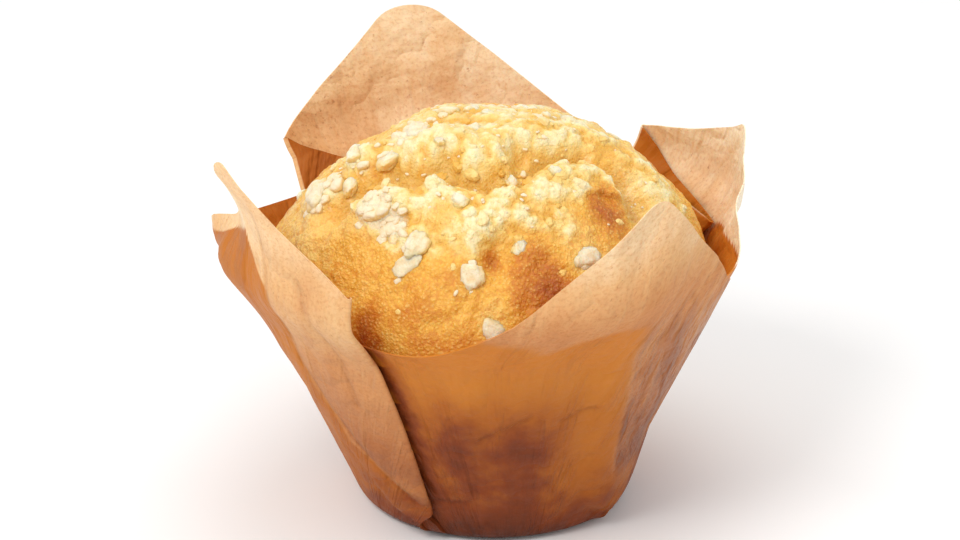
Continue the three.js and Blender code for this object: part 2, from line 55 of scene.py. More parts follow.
def smooth(x: Array | float) -> Array | float:
    """Eases 0 to 1, flat outside."""
    t = np.clip(x, 0.0, 1.0)
    return t * t * (3.0 - 2.0 * t)


def mix(a: Array | float, b: Array | float, t: Array | float) -> Array | float:
    """The value at share t of the way from a to b."""
    return a + (b - a) * t


def bell(x: Array | float) -> Array | float:
    """1 at zero, fading out on both sides within about two."""
    return np.exp(-(x**2))


def apart(a: Array | float, b: Array | float) -> Array | float:
    """Degrees from b to a, the short way round."""
    return np.mod(a - b + 180.0, 360.0) - 180.0


def polar(radius: Array | float, degrees: Array | float) -> tuple[Array, Array]:
    """Plan place at a radius and an azimuth."""
    return radius * np.cos(np.radians(degrees)), radius * np.sin(np.radians(degrees))


def stepped(x: Array, table: Table) -> Array:
    """The value at x, between a table's rows of place and value."""
    return np.interp(x, *zip(*table))


def paint(*display: int) -> tuple[float, ...]:
    """Linear colour of display red, green and blue from 0 to 255."""
    shares = (value / 255.0 for value in display)
    return (*(c / 12.92 if c <= 0.04045 else ((c + 0.055) / 1.055) ** 2.4 for c in shares), 1.0)


def seeded(seed: int) -> Iterator[float]:
    """Repeatable random numbers from 0 to 1, the same as the solids use.

    Args:
        seed: Where the row starts.

    Returns:
        An endless row of numbers.
    """
    state = seed & WORD
    while True:
        state = (state + 0x6D2B79F5) & WORD
        t = state
        t = ((t ^ (t >> 15)) * (t | 1)) & WORD
        t ^= (t + (((t ^ (t >> 7)) * (t | 61)) & WORD)) & WORD
        yield ((t ^ (t >> 14)) & WORD) / 4294967296.0


@dataclass(frozen=True)
class Grain:
    """Repeatable noise in space, for shapes."""

    seed: int = 1

    def lattice(self, cell: Array, salt: int) -> Array:
        """A number from 0 to 1 for each whole cell.

        Args:
            cell: Whole coordinates, three to a row.
            salt: Tells rows of numbers apart.

        Returns:
            One number a cell.
        """
        cell = cell.astype(np.int64)
        mixed = cell[..., 0] * 374761393 + cell[..., 1] * 668265263 + cell[..., 2] * 961748927
        mixed = (mixed + (self.seed * 7919 + salt) * 1274126177) & WORD
        mixed = ((mixed ^ (mixed >> 13)) * 1274126177) & WORD
        mixed = ((mixed ^ (mixed >> 15)) * 362437) & WORD
        return ((mixed ^ (mixed >> 16)) & 0xFFFFFF) / float(0xFFFFFF)

    def waves(self, at: Array, size: float, octaves: int = 3) -> Array:
        """Cloudy noise about zero.

        Args:
            at: Points, three to a row.
            size: Width of its largest features.
            octaves: How many finer layers it has.

        Returns:
            One value a point, mostly between -1 and 1.
        """
        total = np.zeros(at.shape[:-1])
        weight = 1.0
        for octave in range(octaves):
            scaled = at / (size / 2.0**octave) + 17.3 * octave
            base = np.floor(scaled)
            t = smooth(scaled - base)
            value = np.zeros(at.shape[:-1])
            for corner in range(8):
                step = np.array([corner & 1, corner >> 1 & 1, corner >> 2])
                share = np.prod(np.where(step == 1, t, 1.0 - t), axis=-1)
                value += share * self.lattice(base + step, octave)
            total += weight * (2.0 * value - 1.0)
            weight *= 0.5
        return total

    def cells(self, at: Array, size: float) -> Array:
        """Distance to the nearest of evenly strewn points, in sizes.

        Args:
            at: Points, three to a row.
            size: Mean spacing of the strewn points.

        Returns:
            One distance a point.
        """
        scaled = at / size
        base = np.floor(scaled)
        nearest = np.full(at.shape[:-1], 9.0)
        for corner in range(27):
            cell = base + np.array([corner % 3 - 1, corner // 3 % 3 - 1, corner // 9 - 1])
            spot = np.stack([self.lattice(cell, 31 + axis) for axis in range(3)], axis=-1)
            nearest = np.minimum(nearest, np.linalg.norm(cell + spot - scaled, axis=-1))
        return nearest


# ---- shader writing

def operator(operation: str) -> Callable[["Wire", "Wire | float"], "Wire"]:
    """A method of Wire that adds a Math node of one kind.

    Args:
        operation: Blender's name of the operation.

    Returns:
        The method.
    """
    def method(self: "Wire", other: "Wire | float") -> "Wire":
        """The operation on the value and another."""
        return self.graph.maths(operation, self, other)

    return method


@dataclass(frozen=True)
class Wire:
    """An output socket that can be used in a Python expression."""

    graph: "Graph"
    socket: bpy.types.NodeSocket

    __add__ = __radd__ = operator("ADD")
    __mul__ = __rmul__ = operator("MULTIPLY")
    __sub__ = operator("SUBTRACT")
    at_most = operator("MINIMUM")

    def __rsub__(self, other: float) -> "Wire":
        """Difference from a number."""
        return self.graph.maths("SUBTRACT", other, self)

    def size(self) -> "Wire":
        """The value without its sign."""
        return self.graph.maths("ABSOLUTE", self)

    def eased(self, low: float, high: float) -> "Wire":
        """0 below low, 1 above high, eased between."""
        inputs = {"Value": self, "From Min": low, "From Max": high}
        return self.graph.node("ShaderNodeMapRange", {"interpolation_type": "SMOOTHSTEP"}, inputs)


@dataclass
class Graph:
    """The node tree of one material."""

    name: str
    material: bpy.types.Material = field(init=False)

    def __post_init__(self) -> None:
        """Makes the material with an empty tree."""
        self.material = bpy.data.materials.new(self.name)
        self.material.use_nodes = True
        self.material.node_tree.nodes.clear()

    def node(
        self,
        kind: str,
        settings: dict | None = None,
        inputs: dict | None = None,
        output: int | str = 0,
    ) -> Wire:
        """Adds one node.

        Args:
            kind: Blender's type name.
            settings: Properties, set first; stops is a ramp's list of position and colour.
            inputs: Values or wires by socket name or number.
            output: Which output to hand back.

        Returns:
            That output.
        """
        made = self.material.node_tree.nodes.new(kind)
        for key, value in (settings or {}).items():
            if key == "stops":
                ramp = made.color_ramp
                while len(ramp.elements) > 1:
                    ramp.elements.remove(ramp.elements[-1])
                ramp.elements[0].position, ramp.elements[0].color = value[0]
                for position, colour in value[1:]:
                    ramp.elements.new(position).color = colour
            else:
                setattr(made, key, value)
        for key, value in (inputs or {}).items():
            if isinstance(value, Wire):
                self.material.node_tree.links.new(value.socket, made.inputs[key])
            else:
                made.inputs[key].default_value = value
        return Wire(self, made.outputs[output]) if made.outputs else Wire(self, None)

    def maths(self, operation: str, *values: Wire | float) -> Wire:
        """A Math node on numbers."""
        return self.node("ShaderNodeMath", {"operation": operation}, dict(enumerate(values)))

    def value(self, name: str, output: str = "Fac") -> Wire:
        """A number kept on the mesh's points, or a vector."""
        return self.node("ShaderNodeAttribute", {"attribute_name": name}, output=output)

    def place(self, name: str) -> Wire:
        """A vector kept on the mesh's points."""
        return self.value(name, "Vector")

    def blend(self, a: Wire | tuple, b: Wire | tuple, share: Wire | float, how: str = "MIX") -> Wire:
        """Colour from a to b by share, mixed plainly or how Blender's name for it says."""
        settings = {"data_type": "RGBA", "blend_type": how, "clamp_factor": True}
        return self.node("ShaderNodeMix", settings, {0: share, 6: a, 7: b}, output=2)

    def darken(self, colour: Wire | tuple, by: Wire | tuple, share: Wire | float) -> Wire:
        """Colour multiplied by another, by share."""
        return self.blend(colour, by, share, "MULTIPLY")

    def stretch(self, where: Wire, by: tuple[float, float, float]) -> Wire:
        """A vector with its three parts scaled."""
        return self.node("ShaderNodeVectorMath", {"operation": "MULTIPLY"}, {0: where, 1: by})

    def cloud(self, where: Wire, scale: float, detail: float = 3.0, rough: float = 0.5) -> Wire:
        """Noise from 0 to 1."""
        inputs = {"Vector": where, "Scale": scale, "Detail": detail, "Roughness": rough}
        return self.node("ShaderNodeTexNoise", {}, inputs)

    def cells(self, where: Wire, scale: float) -> Wire:
        """Distance to the middle of the nearest cell."""
        return self.node("ShaderNodeTexVoronoi", {}, {"Vector": where, "Scale": scale})

    def bump(self, height: Wire, distance: float) -> Wire:
        """Normal pressed by a height in millimetres."""
        return self.node("ShaderNodeBump", {}, {"Height": height, "Distance": distance * MM})

    def finish(self, inputs: dict) -> bpy.types.Material:
        """Closes the tree with one plain surface.

        Args:
            inputs: The surface's sockets.

        Returns:
            The finished material.
        """
        surface = self.node("ShaderNodeBsdfPrincipled", {}, inputs)
        self.node("ShaderNodeOutputMaterial", {}, {"Surface": surface})
        return self.material


# ---- finishes

@dataclass(frozen=True)
class PaperFinish:
    """Unbleached baking paper, soaked and browned where the cake baked against it, with painted shade
    along its creases, beside its fold edges and towards its foot, and painted light on its rear and
    right petals.
    """

    speck: tuple = paint(170, 104, 54)
    soaked: tuple = paint(200, 122, 38)
    gold: tuple = paint(172, 95, 25)
    deep: tuple = paint(130, 58, 18)
    charred: tuple = paint(82, 34, 12)
    dry: tuple = (
        (0.0, paint(140, 80, 46)),
        (0.2, paint(176, 110, 62)),
        (0.44, paint(206, 144, 90)),
        (0.64, paint(226, 178, 124)),
        (0.8, paint(243, 209, 165)),
        (1.0, paint(255, 240, 214)),
    )

    def material(self) -> bpy.types.Material:
        """Builds the paper's material.

        Returns:
            The material.
        """
        g = Graph("baking_paper")
        sheet = g.place("sheet")
        strand = g.place("strand")
        soak = g.value("soak")
        char = g.value("char")
        line = g.value("line")
        cloud = g.cloud(sheet, 0.06, 4.0, 0.55)
        blotch = g.cloud(sheet, 0.17, 4.0, 0.6)
        fibre = g.cloud(sheet, 1.5, 5.0, 0.65)
        dots = g.cloud(sheet, 0.9, 3.0, 0.7)
        streak = g.cloud(strand, 0.2, 4.0, 0.55)
        hair = g.cloud(strand, 0.8, 3.0, 0.6)
        fold = 1.0 - line.eased(0.0, 1.3)
        slanting = g.cloud(g.stretch(sheet, (1.0, 0.28, 1.0)), 0.22, 3.0, 0.55)
        crumpled = (streak - 0.5).size() + (g.cloud(sheet, 0.08, 3.0, 0.5) - 0.5).size() * 1.2
        crumpled = crumpled + (slanting - 0.5).size() * g.value("gloss") * 1.4

        # The tone carries painted light on the right and rear petals.
        shade = g.value("tone") + (cloud - 0.5) * 0.4 + (streak - 0.5) * 0.4 + (hair - 0.5) * 0.12
        shade = shade + (slanting - 0.5) * g.value("gloss") * 0.8
        dry = g.node("ShaderNodeValToRGB", {"stops": self.dry}, {"Fac": shade * 0.8})
        dotted = (dots + g.value("speck") * 0.17).eased(0.6, 0.76)
        dry = g.blend(dry, self.speck, dotted * 0.6)
        dry = g.darken(dry, paint(226, 196, 166), fibre.eased(0.42, 0.75) * 0.6)
        worn = blotch + (hair - 0.5) * 0.7 - soak * 0.2
        dry = g.darken(dry, self.deep, worn.eased(0.66, 0.92) * 0.4)
        # Browning, darker towards the foot and the front partly as painted shade, plus a painted shadow
        # beside the fold edges.
        wet = g.blend(self.soaked, self.gold, (char * 2.0 + (streak - 0.5) * 1.0).eased(0.1, 1.0))
        wet = g.blend(wet, self.deep, (char + (blotch - 0.5) * 0.9).eased(0.4, 0.95))
        wet = g.blend(wet, self.charred, (char + (blotch - 0.5) * 0.8).eased(0.8, 1.4))
        edge = soak + (blotch - 0.5) * 0.5 + (streak - 0.5) * 0.4
        colour = g.blend(dry, wet, edge.eased(0.2, 0.8) * (1.0 - g.value("plies")))
        # Painted shade along the pressed crease lines.
        colour = g.darken(colour, self.deep, fold * 0.2)

        height = fibre * 0.08 + crumpled * 2.6 + streak * 0.8 + hair * 0.2 - fold * 0.25
        return g.finish(
            {
                "Base Color": colour,
                "Roughness": 0.64 - soak * 0.14 - g.value("gloss") * 0.16 + (fibre - 0.5) * 0.2,
                "Normal": g.bump(height, 1.0),
                "Subsurface Weight": 0.15,
                "Subsurface Radius": (1.0, 0.5, 0.25),
                "Subsurface Scale": 0.8 * MM,
                "Specular IOR Level": 0.22,
            }
        )


@dataclass(frozen=True)
class CrustFinish:
    """The cake's torn pale crumb, its golden skin and its browner shoulders, with painted light on the
    crumb's crests and painted shade in its creases and split.
    """

    cream: tuple = paint(252, 236, 188)
    crumb: tuple = paint(248, 212, 126)
    crease: tuple = paint(237, 182, 74)
    valley: tuple = paint(236, 194, 104)
    straw: tuple = paint(248, 204, 114)
    gold: tuple = paint(240, 183, 72)
    amber: tuple = paint(220, 144, 40)
    toast: tuple = paint(178, 92, 26)
    glaze: tuple = paint(252, 234, 202)
    glow: float = 0.55

    def material(self, name: str = "baked_crust") -> bpy.types.Material:
        """Builds the crust's material.

        Args:
            name: The material's name.

        Returns:
            The material.
        """
        g = Graph(name)
        here = g.place("spot")
        torn = g.value("torn")
        hollow = g.value("hollow")
        toast = g.value("toast")
        ridge = g.value("ridge")
        cloud = g.cloud(here, 0.16, 4.0, 0.6)
        mottle = g.cloud(here, 0.5, 5.0, 0.62)
        fine = g.cloud(here, 2.4, 4.0, 0.62)
        pores = g.cells(here, 1.5)
        seeds = g.cells(here, 2.9)

        # The skin is a little paler on the crests: painted light.
        tan = toast * 1.6 + cloud * 0.8 - ridge * 0.3
        skin = g.blend(self.straw, self.gold, tan.eased(0.15, 0.8))
        baked = toast + (cloud - 0.5) * 0.5 + (mottle - 0.5) * 0.5
        skin = g.blend(skin, self.amber, baked.eased(0.3, 0.8))
        skin = g.blend(skin, self.toast, (toast + (mottle - 0.5) * 0.7).eased(0.7, 1.35))
        grainy = (0.55 - pores) * 1.4 + (mottle - 0.5) * 1.4 + (fine - 0.5) * 0.8 - toast * 0.25
        skin = g.blend(skin, self.crumb, grainy.eased(0.0, 0.7) * 0.6)
        skin = g.darken(skin, self.amber, (0.0 - grainy).eased(0.0, 0.6) * 0.35)
        patchy = (cloud - 0.5) * 0.9 + (mottle - 0.5) * 0.7
        # Painted light on the crests of the lumps and painted shade, the crease colour, between them.
        inside = g.blend(self.crease, self.crumb, (ridge + patchy).eased(0.1, 0.65))
        inside = g.blend(inside, self.cream, (ridge + patchy).eased(0.55, 1.1))
        # Painted shade in the split and the hollows, in the valley colour.
        inside = g.blend(inside, self.valley, (hollow + (mottle - 0.5) * 0.4).eased(0.25, 0.95) * 0.85)
        colour = g.blend(skin, inside, (torn + (mottle - 0.5) * 0.8).eased(0.2, 0.8))
        sugary = g.value("glaze") + (fine - 0.5) * 0.8
        colour = g.blend(colour, self.glaze, sugary.eased(0.35, 0.8) * 0.8)
        colour = g.darken(colour, paint(240, 214, 160), fine.eased(0.5, 0.8) * 0.3)

        height = mottle * 0.45 + fine * 0.3 - pores.at_most(0.6) * 0.4 - seeds.at_most(0.6) * 0.16
        return g.finish(
            {
                "Base Color": colour,
                "Roughness": 0.38 + torn * 0.04 + (fine - 0.5) * 0.3,
                "Normal": g.bump(height, 0.75),
                "Subsurface Weight": self.glow,
                "Subsurface Radius": (1.0, 0.75, 0.5),
                "Subsurface Scale": 1.3 * MM,
                "Specular IOR Level": 0.45,
                "Coat Weight": torn * 0.35,
                "Coat Roughness": 0.2,
            }
        )


@dataclass(frozen=True)
class SugarFinish:
    """Baked pearl sugar: white, cloudy and a little wet, with the crust's yellow painted low on each
    lump for light seen through the sugar.
    """

    white: tuple = paint(254, 237, 209)
    shade: tuple = paint(246, 214, 165)
    # The colour painted low on each lump, standing in for the crust seen through the sugar.
    foot: tuple = paint(246, 208, 136)
    glow: float = 0.8

    def material(self, name: str = "pearl_sugar") -> bpy.types.Material:
        """Builds the sugar's material.

        Args:
            name: The material's name.

        Returns:
            The material.
        """
        g = Graph(name)
        here = g.place("spot")
        cloud = g.cloud(here, 0.6, 3.0, 0.6)
        fine = g.cloud(here, 2.6, 4.0, 0.7)
        colour = g.blend(self.white, self.shade, (cloud * 0.7 + fine * 0.4).eased(0.4, 0.8))
        return g.finish(
            {
                # Yellower low on each lump near the crust: painted light through the sugar.
                "Base Color": g.blend(self.foot, colour, g.value("proud").eased(-0.15, 0.25)),
                "Roughness": 0.28 + fine * 0.3,
                "Normal": g.bump(fine * 0.8 + cloud * 0.6, 0.4),
                "Subsurface Weight": self.glow,
                "Subsurface Radius": (1.0, 0.8, 0.6),
                "Subsurface Scale": 1.6 * MM,
            }
        )


# ---- meshes

@dataclass
class Shell:
    """Points and faces in millimetres, with numbers kept on the points."""

    points: Array
    faces: Array
    marks: dict[str, Array] = field(default_factory=dict)

    def piece(self, name: str, material: bpy.types.Material, crease: float = 40.0) -> bpy.types.Object:
        """Makes the Blender object.

        Args:
            name: The object's name.
            material: Its finish.
            crease: Angle in degrees past which an edge stays sharp.

        Returns:
            The object, linked into the scene.
        """
        mesh = bpy.data.meshes.new(name)
        count = len(self.points)
        width = self.faces.shape[1]
        mesh.vertices.add(count)
        mesh.vertices.foreach_set("co", (self.points * MM).astype(np.float32).ravel())
        mesh.loops.add(self.faces.size)
        mesh.loops.foreach_set("vertex_index", self.faces.astype(np.int32).ravel())
        mesh.polygons.add(len(self.faces))
        mesh.polygons.foreach_set("loop_start", np.arange(0, self.faces.size, width, dtype=np.int32))
        mesh.update(calc_edges=True)
        mesh.validate()
        for key, values in self.marks.items():
            kind = "FLOAT_VECTOR" if values.ndim == 2 else "FLOAT"
            layer = mesh.attributes.new(key, kind, "POINT")
            slot = "vector" if values.ndim == 2 else "value"
            layer.data.foreach_set(slot, values.astype(np.float32).ravel())
        mesh.polygons.foreach_set("use_smooth", np.ones(len(mesh.polygons), dtype=bool))
        mesh.set_sharp_from_angle(angle=math.radians(crease))
        mesh.materials.append(material)
        made = bpy.data.objects.new(name, mesh)
        bpy.context.scene.collection.objects.link(made)
        return made


# ---- paper case

RIGHT, REAR, LEFT, FRONT = range(4)


class Fold(IntEnum):
    """Which stretch of the sheet a column runs up: a petal's panel or a layer of its pleat."""

    PANEL = 0
    OUTER = 1
    MIDDLE = 2
    INNER = 3


@dataclass(frozen=True)
class Petal:
    """A corner of the sheet that stands up, in degrees and millimetres.

    Its azimuth at the floor and at the rim, the share of the corner that shows, the flare under
    it, its lean at the root and at the tip, how flat it is across, how far its tip is pulled
    sideways, the slant it stands up from and the rounding of its corner.
    """

    floor_az: float
    rim_az: float
    reach: float
    flare: float
    lean: float
    tip_lean: float
    flat: float
    skew: float
    stand: float
    corner: float


@dataclass(frozen=True)
class Pleat:
    """The pleat after a petal: azimuths of its middle, and the flare and lean there."""

    floor_az: float
    rim_az: float
    flare: float
    lean: float


@dataclass(frozen=True)
class Spot:
    """A place on the case that differs, in degrees and millimetres up the sheet."""

    azimuth: float
    slant: float
    wide: float
    tall: float
    amount: float

    def near(self, azimuth: Array, slant: Array) -> Array:
        """Its amount, fading out from its middle."""
        across, up = apart(azimuth, self.azimuth) / self.wide, (slant - self.slant) / self.tall
        return self.amount * bell(across) * bell(up)


@dataclass(frozen=True)
class Trim:
    """Where the sheet's outline stands higher, or lower if below zero, by its own angle."""

    turn: float
    wide: float
    rise: float


@dataclass
class PaperCase:
    """One square sheet pressed to a cup, its corners up as petals, its surplus in four pleats.

    Dents are pushed out by their amount, and stained spots are browner by theirs, though the spot at the
    front's foot is partly painted shade and the one at azimuth 13 is painted light. The soak line has
    azimuth, height and blur; the petals' tone table has each petal's start, lowest tone, span and extra
    tone, the extra being painted light; a crease is a pressed line through azimuths and slants, and the
    other tables have slant and value.
    """

    sheet_half: float = 77.0
    base_radius: float = 24.3
    base_turn: float = 2.8
    wall_angle: float = 23.5
    stock: float = 0.6
    paper: float = 0.22
    pitch: float = 0.92
    flare_start: float = 45.0
    turn_width: float = 7.0
    rim_slant: float = 50.0
    fold_top: float = 60.0
    petal_height: float = 26.0
    front_az: float = 285.0
    foot_az: float = -24.0
    foot_full: float = 0.097
    pleat_start: float = 3.5
    pleat_full: float = 8.0
    pleat_sweep: float = 0.75
    ramp_az: float = 12.0
    tip_slant: float = 80.0
    edge_range: tuple[float, float] = (46.0, 100.0)
    rows: int = 116
    per_panel: int = 66
    tip_share: float = 0.62
    per_turn: int = 6
    per_middle: int = 9
    finish: PaperFinish = PaperFinish()
    petals: tuple[Petal, ...] = (
        Petal(18, 27, 0.77, -1, -24, 9, 0.0, -24, 56.4, 2.5),
        Petal(108, 104.3, 1.145, 3.5, -2, 10, 0.1, 2.7, 59.9, 8.0),
        Petal(198, 213.3, 1.09, 8, -13, 19, 0.1, 0.6, 56.6, 2.5),
        Petal(288, 291.5, 0.97, 14, -21, 3.4, 0.1, 12, 61.5, 4.0),
    )
    pleats: tuple[Pleat, ...] = (
        Pleat(52.6, 39.8, -1, -25),
        Pleat(165, 130, 11.6, -1.4),
        Pleat(250, 225.5, 12, -10),
        Pleat(323, 318.7, -8, 2),
    )
    dents: tuple[Spot, ...] = (
        Spot(213, 86, 9, 7, 2.6),
        Spot(197, 69, 11, 6, -3.4),
        Spot(190, 59, 12, 4.5, 0.9),
        Spot(14, 58, 14, 6, -2.0),
        Spot(350, 56, 10, 6, 1.8),
    )
    trims: tuple[Trim, ...] = (
        Trim(249, 8.5, -6.5),
        Trim(99, 5, 0.6),
        Trim(79, 7, 0.6),
        Trim(13, 8, 1.6),
        Trim(172, 6, -4.0),
        Trim(181, 3, 2.8),
    )
    soak_line: Table = (
        (7, 54.7, 1.0), (23, 52.8, 1.0), (33, 52.6, 1.5), (48, 54, 4), (75, 56, 5), (120, 57, 4),
        (135, 60, 3), (165, 58, 4), (185, 61, 2), (191, 62, 1.2), (202, 67, 1.2), (211, 70, 1.2),
        (221, 62, 3), (243, 62, 4), (250, 66, 5), (263, 62, 7), (272, 57, 8), (281, 54, 8),
        (286, 56, 8), (291, 58, 8), (296, 59, 8), (303, 56, 6), (320, 54, 4), (340, 57, 3),
        (352, 56.7, 1.0),
    )
    strip_edge: Table = (
        (10, 247), (16, 238), (20, 232), (24, 225.5), (31, 222), (37, 219), (47, 219), (55, 222),
        (62, 221), (75, 219), (84, 213),
    )
    strip_tone: Table = ((10, 0.12), (25, 0.28), (45, 0.55), (62, 0.8), (75, 0.95))
    front_strip_tone: Table = ((10, 0.02), (22, 0.1), (45, 0.27), (62, 0.55), (72, 0.85))
    # Browner towards the front's foot: partly baked browning, partly painted shade.
    front_char_and_shade: Table = ((0, 1.0), (8, 0.7), (20, 0.48), (32, 0.34), (44, 0.16))
    # A painted shadow beside each fold edge, with some browning.
    edge_shadow_and_char: Table = ((10, 0.3), (24, 0.6), (42, 1.0), (56, 0.5), (60, 0.1))
    # Each petal's last column is painted light on its tone, mostly on the right petal.
    drying_and_light: Table = (
        (52, 0.85, 12, 0.32), (56, 1.0, 10, 0.05), (60, 0.85, 10, -0.02), (58, 0.5, 22, 0.0),
    )
    # Brown stained spots; the one at the front's foot is partly painted shade, and the one at azimuth 13
    # is painted light on the right petal's shaded fold.
    stains_and_shade: tuple[Spot, ...] = (
        Spot(260.5, 27, 7.5, 11, 0.52),
        Spot(281, 25, 14, 11, 0.55),
        Spot(272, 1, 30, 11, 0.32),
        Spot(300, 22, 8, 12, -0.2),
        Spot(134, 60, 8, 6, 0.3),
        Spot(13, 52, 24, 7, -0.45),
        Spot(350, 20, 16, 12, 0.4),
        Spot(60, 22, 18, 10, 0.45),
        Spot(110, 28, 14, 9, 0.5),
        Spot(150, 14, 22, 10, 0.4),
    )
    creases: tuple[Table, ...] = (
        ((266, 12), (266.4, 22), (265.6, 31)),
        ((268, 29), (282, 35)),
        ((291, 33), (300, 35)),
        ((248.6, 10), (264, 11)),
        ((319, 64.5), (316, 61.5), (314, 58.6), (311, 51)),
        ((219.5, 78), (221.5, 57), (218.5, 42), (222, 31), (232, 20), (244, 11)),
        ((230, 66), (234.5, 52), (235, 36)),
        ((86, 30), (96, 37)),
        ((124, 14), (126, 33)),
        ((12, 18), (15, 34)),
        ((168, 40), (181, 30)),
    )

    def around(self, azimuth: Array, key: str) -> Array:
        """A petal's size, eased from petal to petal round the case.

        Args:
            azimuth: Degrees.
            key: Name of the size.

        Returns:
            The size at each azimuth.
        """
        turn = np.mod(azimuth, 360.0)
        spots = [spot for pair in zip(self.petals, self.pleats) for spot in pair if hasattr(spot, key)]
        found = np.zeros_like(turn, dtype=float)
        for k, here in enumerate(spots):
            after = spots[(k + 1) % len(spots)]
            span = (after.rim_az - here.rim_az) % 360.0
            along = np.mod(turn - here.rim_az, 360.0)
            hold = 0.0 if len(spots) == 8 else 0.25
            share = smooth((along / span - hold) / (1 - 2 * hold))
            found = np.where(along <= span, mix(getattr(here, key), getattr(after, key), share), found)
        return found

    def profile(self, azimuth: Array, slant: Array) -> tuple[Array, Array, Array]:
        """Radius, height and lean of the sheet's middle.

        Args:
            azimuth: Degrees.
            slant: Millimetres up the sheet from the floor's edge.

        Returns:
            Radius and height in millimetres, and lean from the vertical in degrees.
        """
        flare = self.around(azimuth, "flare")
        lean = self.around(azimuth, "lean")
        tip_lean = self.around(azimuth, "tip_lean")
        stand_at = self.around(azimuth, "stand")

        def lean_at(s: Array) -> Array:
            """Lean at a slant."""
            wall = mix(90.0, self.wall_angle, smooth((s + self.base_turn) / (2 * self.base_turn)))
            open_by = smooth((s - self.flare_start) / self.turn_width) * flare
            stand = smooth((s - stand_at) / self.turn_width)
            petal = mix(lean, tip_lean, smooth((s - stand_at) / self.petal_height))
            return mix(wall + open_by, petal, stand)

        steps = 72
        step = (slant + self.base_turn) / steps
        radius = np.full_like(slant, self.base_radius - self.base_turn)
        height = np.full_like(slant, self.stock / 2)
        for i in range(steps):
            angle = np.radians(lean_at(-self.base_turn + (i + 0.5) * step))
            radius = radius + step * np.sin(angle)
            height = height + step * np.cos(angle)
        return radius, height, lean_at(slant)

    def cone_radius(self, slant: Array) -> Array:
        """Radius of the plain cone at a slant."""
        return self.base_radius + np.maximum(0.0, slant) * math.sin(math.radians(self.wall_angle))

    def along(self, rows: tuple, k: Array, slant: Array) -> Array:
        """Azimuth of petals or pleats, counted on past one turn.

        Args:
            rows: The petals or the pleats.
            k: Their numbers.
            slant: Millimetres up the sheet.

        Returns:
            Degrees.
        """
        floor_az = np.array([row.floor_az for row in rows])[k % 4]
        rim_az = np.array([row.rim_az for row in rows])[k % 4]
        share = (np.maximum(0.0, slant) / self.rim_slant) ** self.pleat_sweep
        return mix(floor_az, rim_az, np.minimum(1.3, share)) + 360.0 * (k // 4)

    def opened(self, slant: Array) -> Array:
        """How far the pleats are laid, 0 to 1."""
        return smooth((slant - self.pleat_start) / (self.pleat_full - self.pleat_start))

    def pleat_width(self, k: Array, slant: Array) -> Array:
        """Half the paper left over between two petals.

        Args:
            k: Numbers of the pleats.
            slant: Millimetres up the sheet.

        Returns:
            Millimetres, below zero for a bare step.
        """
        between = self.along(self.petals, k % 4 + 1, slant) - self.along(self.petals, k % 4, slant)
        quarter = (self.base_radius + slant) * math.pi * 0.5
        spare = (quarter - self.cone_radius(slant) * np.radians(between)) / 2
        return mix(-3.0, np.maximum(2.0, spare), self.opened(slant))

    def pleat_edge(self, k: Array, side: int, slant: Array) -> Array:
        """Azimuth of pleat k's edge, before its middle (-1) or after it (1)."""
        half = self.pleat_width(k, slant) / 2 / np.radians(self.cone_radius(slant))
        return self.along(self.pleats, k, slant) + side * half

    def sheet_edge(self, turn: Array) -> Array:
        """The flat sheet's outline, a square with rounded corners.

        Args:
            turn: Degrees on the flat sheet.

        Returns:
            Slant of the outline in millimetres.
        """
        k = np.round(turn / 90.0).astype(int)
        bend = np.array([petal.corner for petal in self.petals])[k % 4]
        corner = math.radians(45)
        away = np.radians(np.abs(turn - 90.0 * k))
        straight = self.sheet_half / np.cos(corner - away)
        centre = (self.sheet_half - bend) * math.sqrt(2)
        reach = np.sqrt(np.maximum(0.0, bend**2 - (centre * np.sin(away)) ** 2))
        touch = corner - np.arctan2(self.sheet_half - bend, self.sheet_half)
        return np.where(away < touch, centre * np.cos(away) + reach, straight) - self.base_radius

    def crumple(self, azimuth: Array, slant: Array) -> Array:
        """Slow waves of handled paper, out from the wall."""
        a = np.radians(azimuth)
        wave = 0.55 * np.sin(5 * a + 0.06 * slant + 1.3) + 0.35 * np.sin(9 * a - 0.11 * slant)
        return smooth((slant - 44.0) / 24.0) * (0.7 + wave)

    def point(self, azimuth: Array, slant: Array, lift: Array) -> Array:
        """Points of the sheet's middle.

        Args:
            azimuth: Degrees.
            slant: Millimetres up the sheet.
            lift: Millimetres off the innermost layer.

        Returns:
            Points in millimetres.
        """
        pull = self.around(azimuth, "skew")
        dented = sum(dent.near(azimuth, slant) for dent in self.dents)
        azimuth = azimuth + pull * np.clip((slant - self.rim_slant) / 30.0, 0.0, 1.2)
        radius, height, lean = self.profile(azimuth, slant)
        out = lift + self.crumple(azimuth, slant) + dented
        fuller = self.foot_full * bell(apart(azimuth, self.foot_az) / 45.0) * (1 - smooth(slant / 24.0))
        r = (radius + out * np.cos(np.radians(lean))) * (1 + fuller)
        z = height - out * np.sin(np.radians(lean))
        off = apart(azimuth[..., None], np.array([petal.rim_az for petal in self.petals]))
        nearest = np.argmin(np.abs(off), axis=-1, keepdims=True)
        away = np.take_along_axis(off, nearest, axis=-1)[..., 0]
        bend = 1.0 - self.around(azimuth, "flat") * smooth((slant - self.flare_start) / 35.0)
        x = r - (r / bend) * (1.0 - np.cos(bend * np.radians(away)))
        y = (r / bend) * np.sin(bend * np.radians(away))
        c, s = polar(1.0, azimuth - away)
        return np.stack([x * c - y * s, x * s + y * c, z], axis=-1)

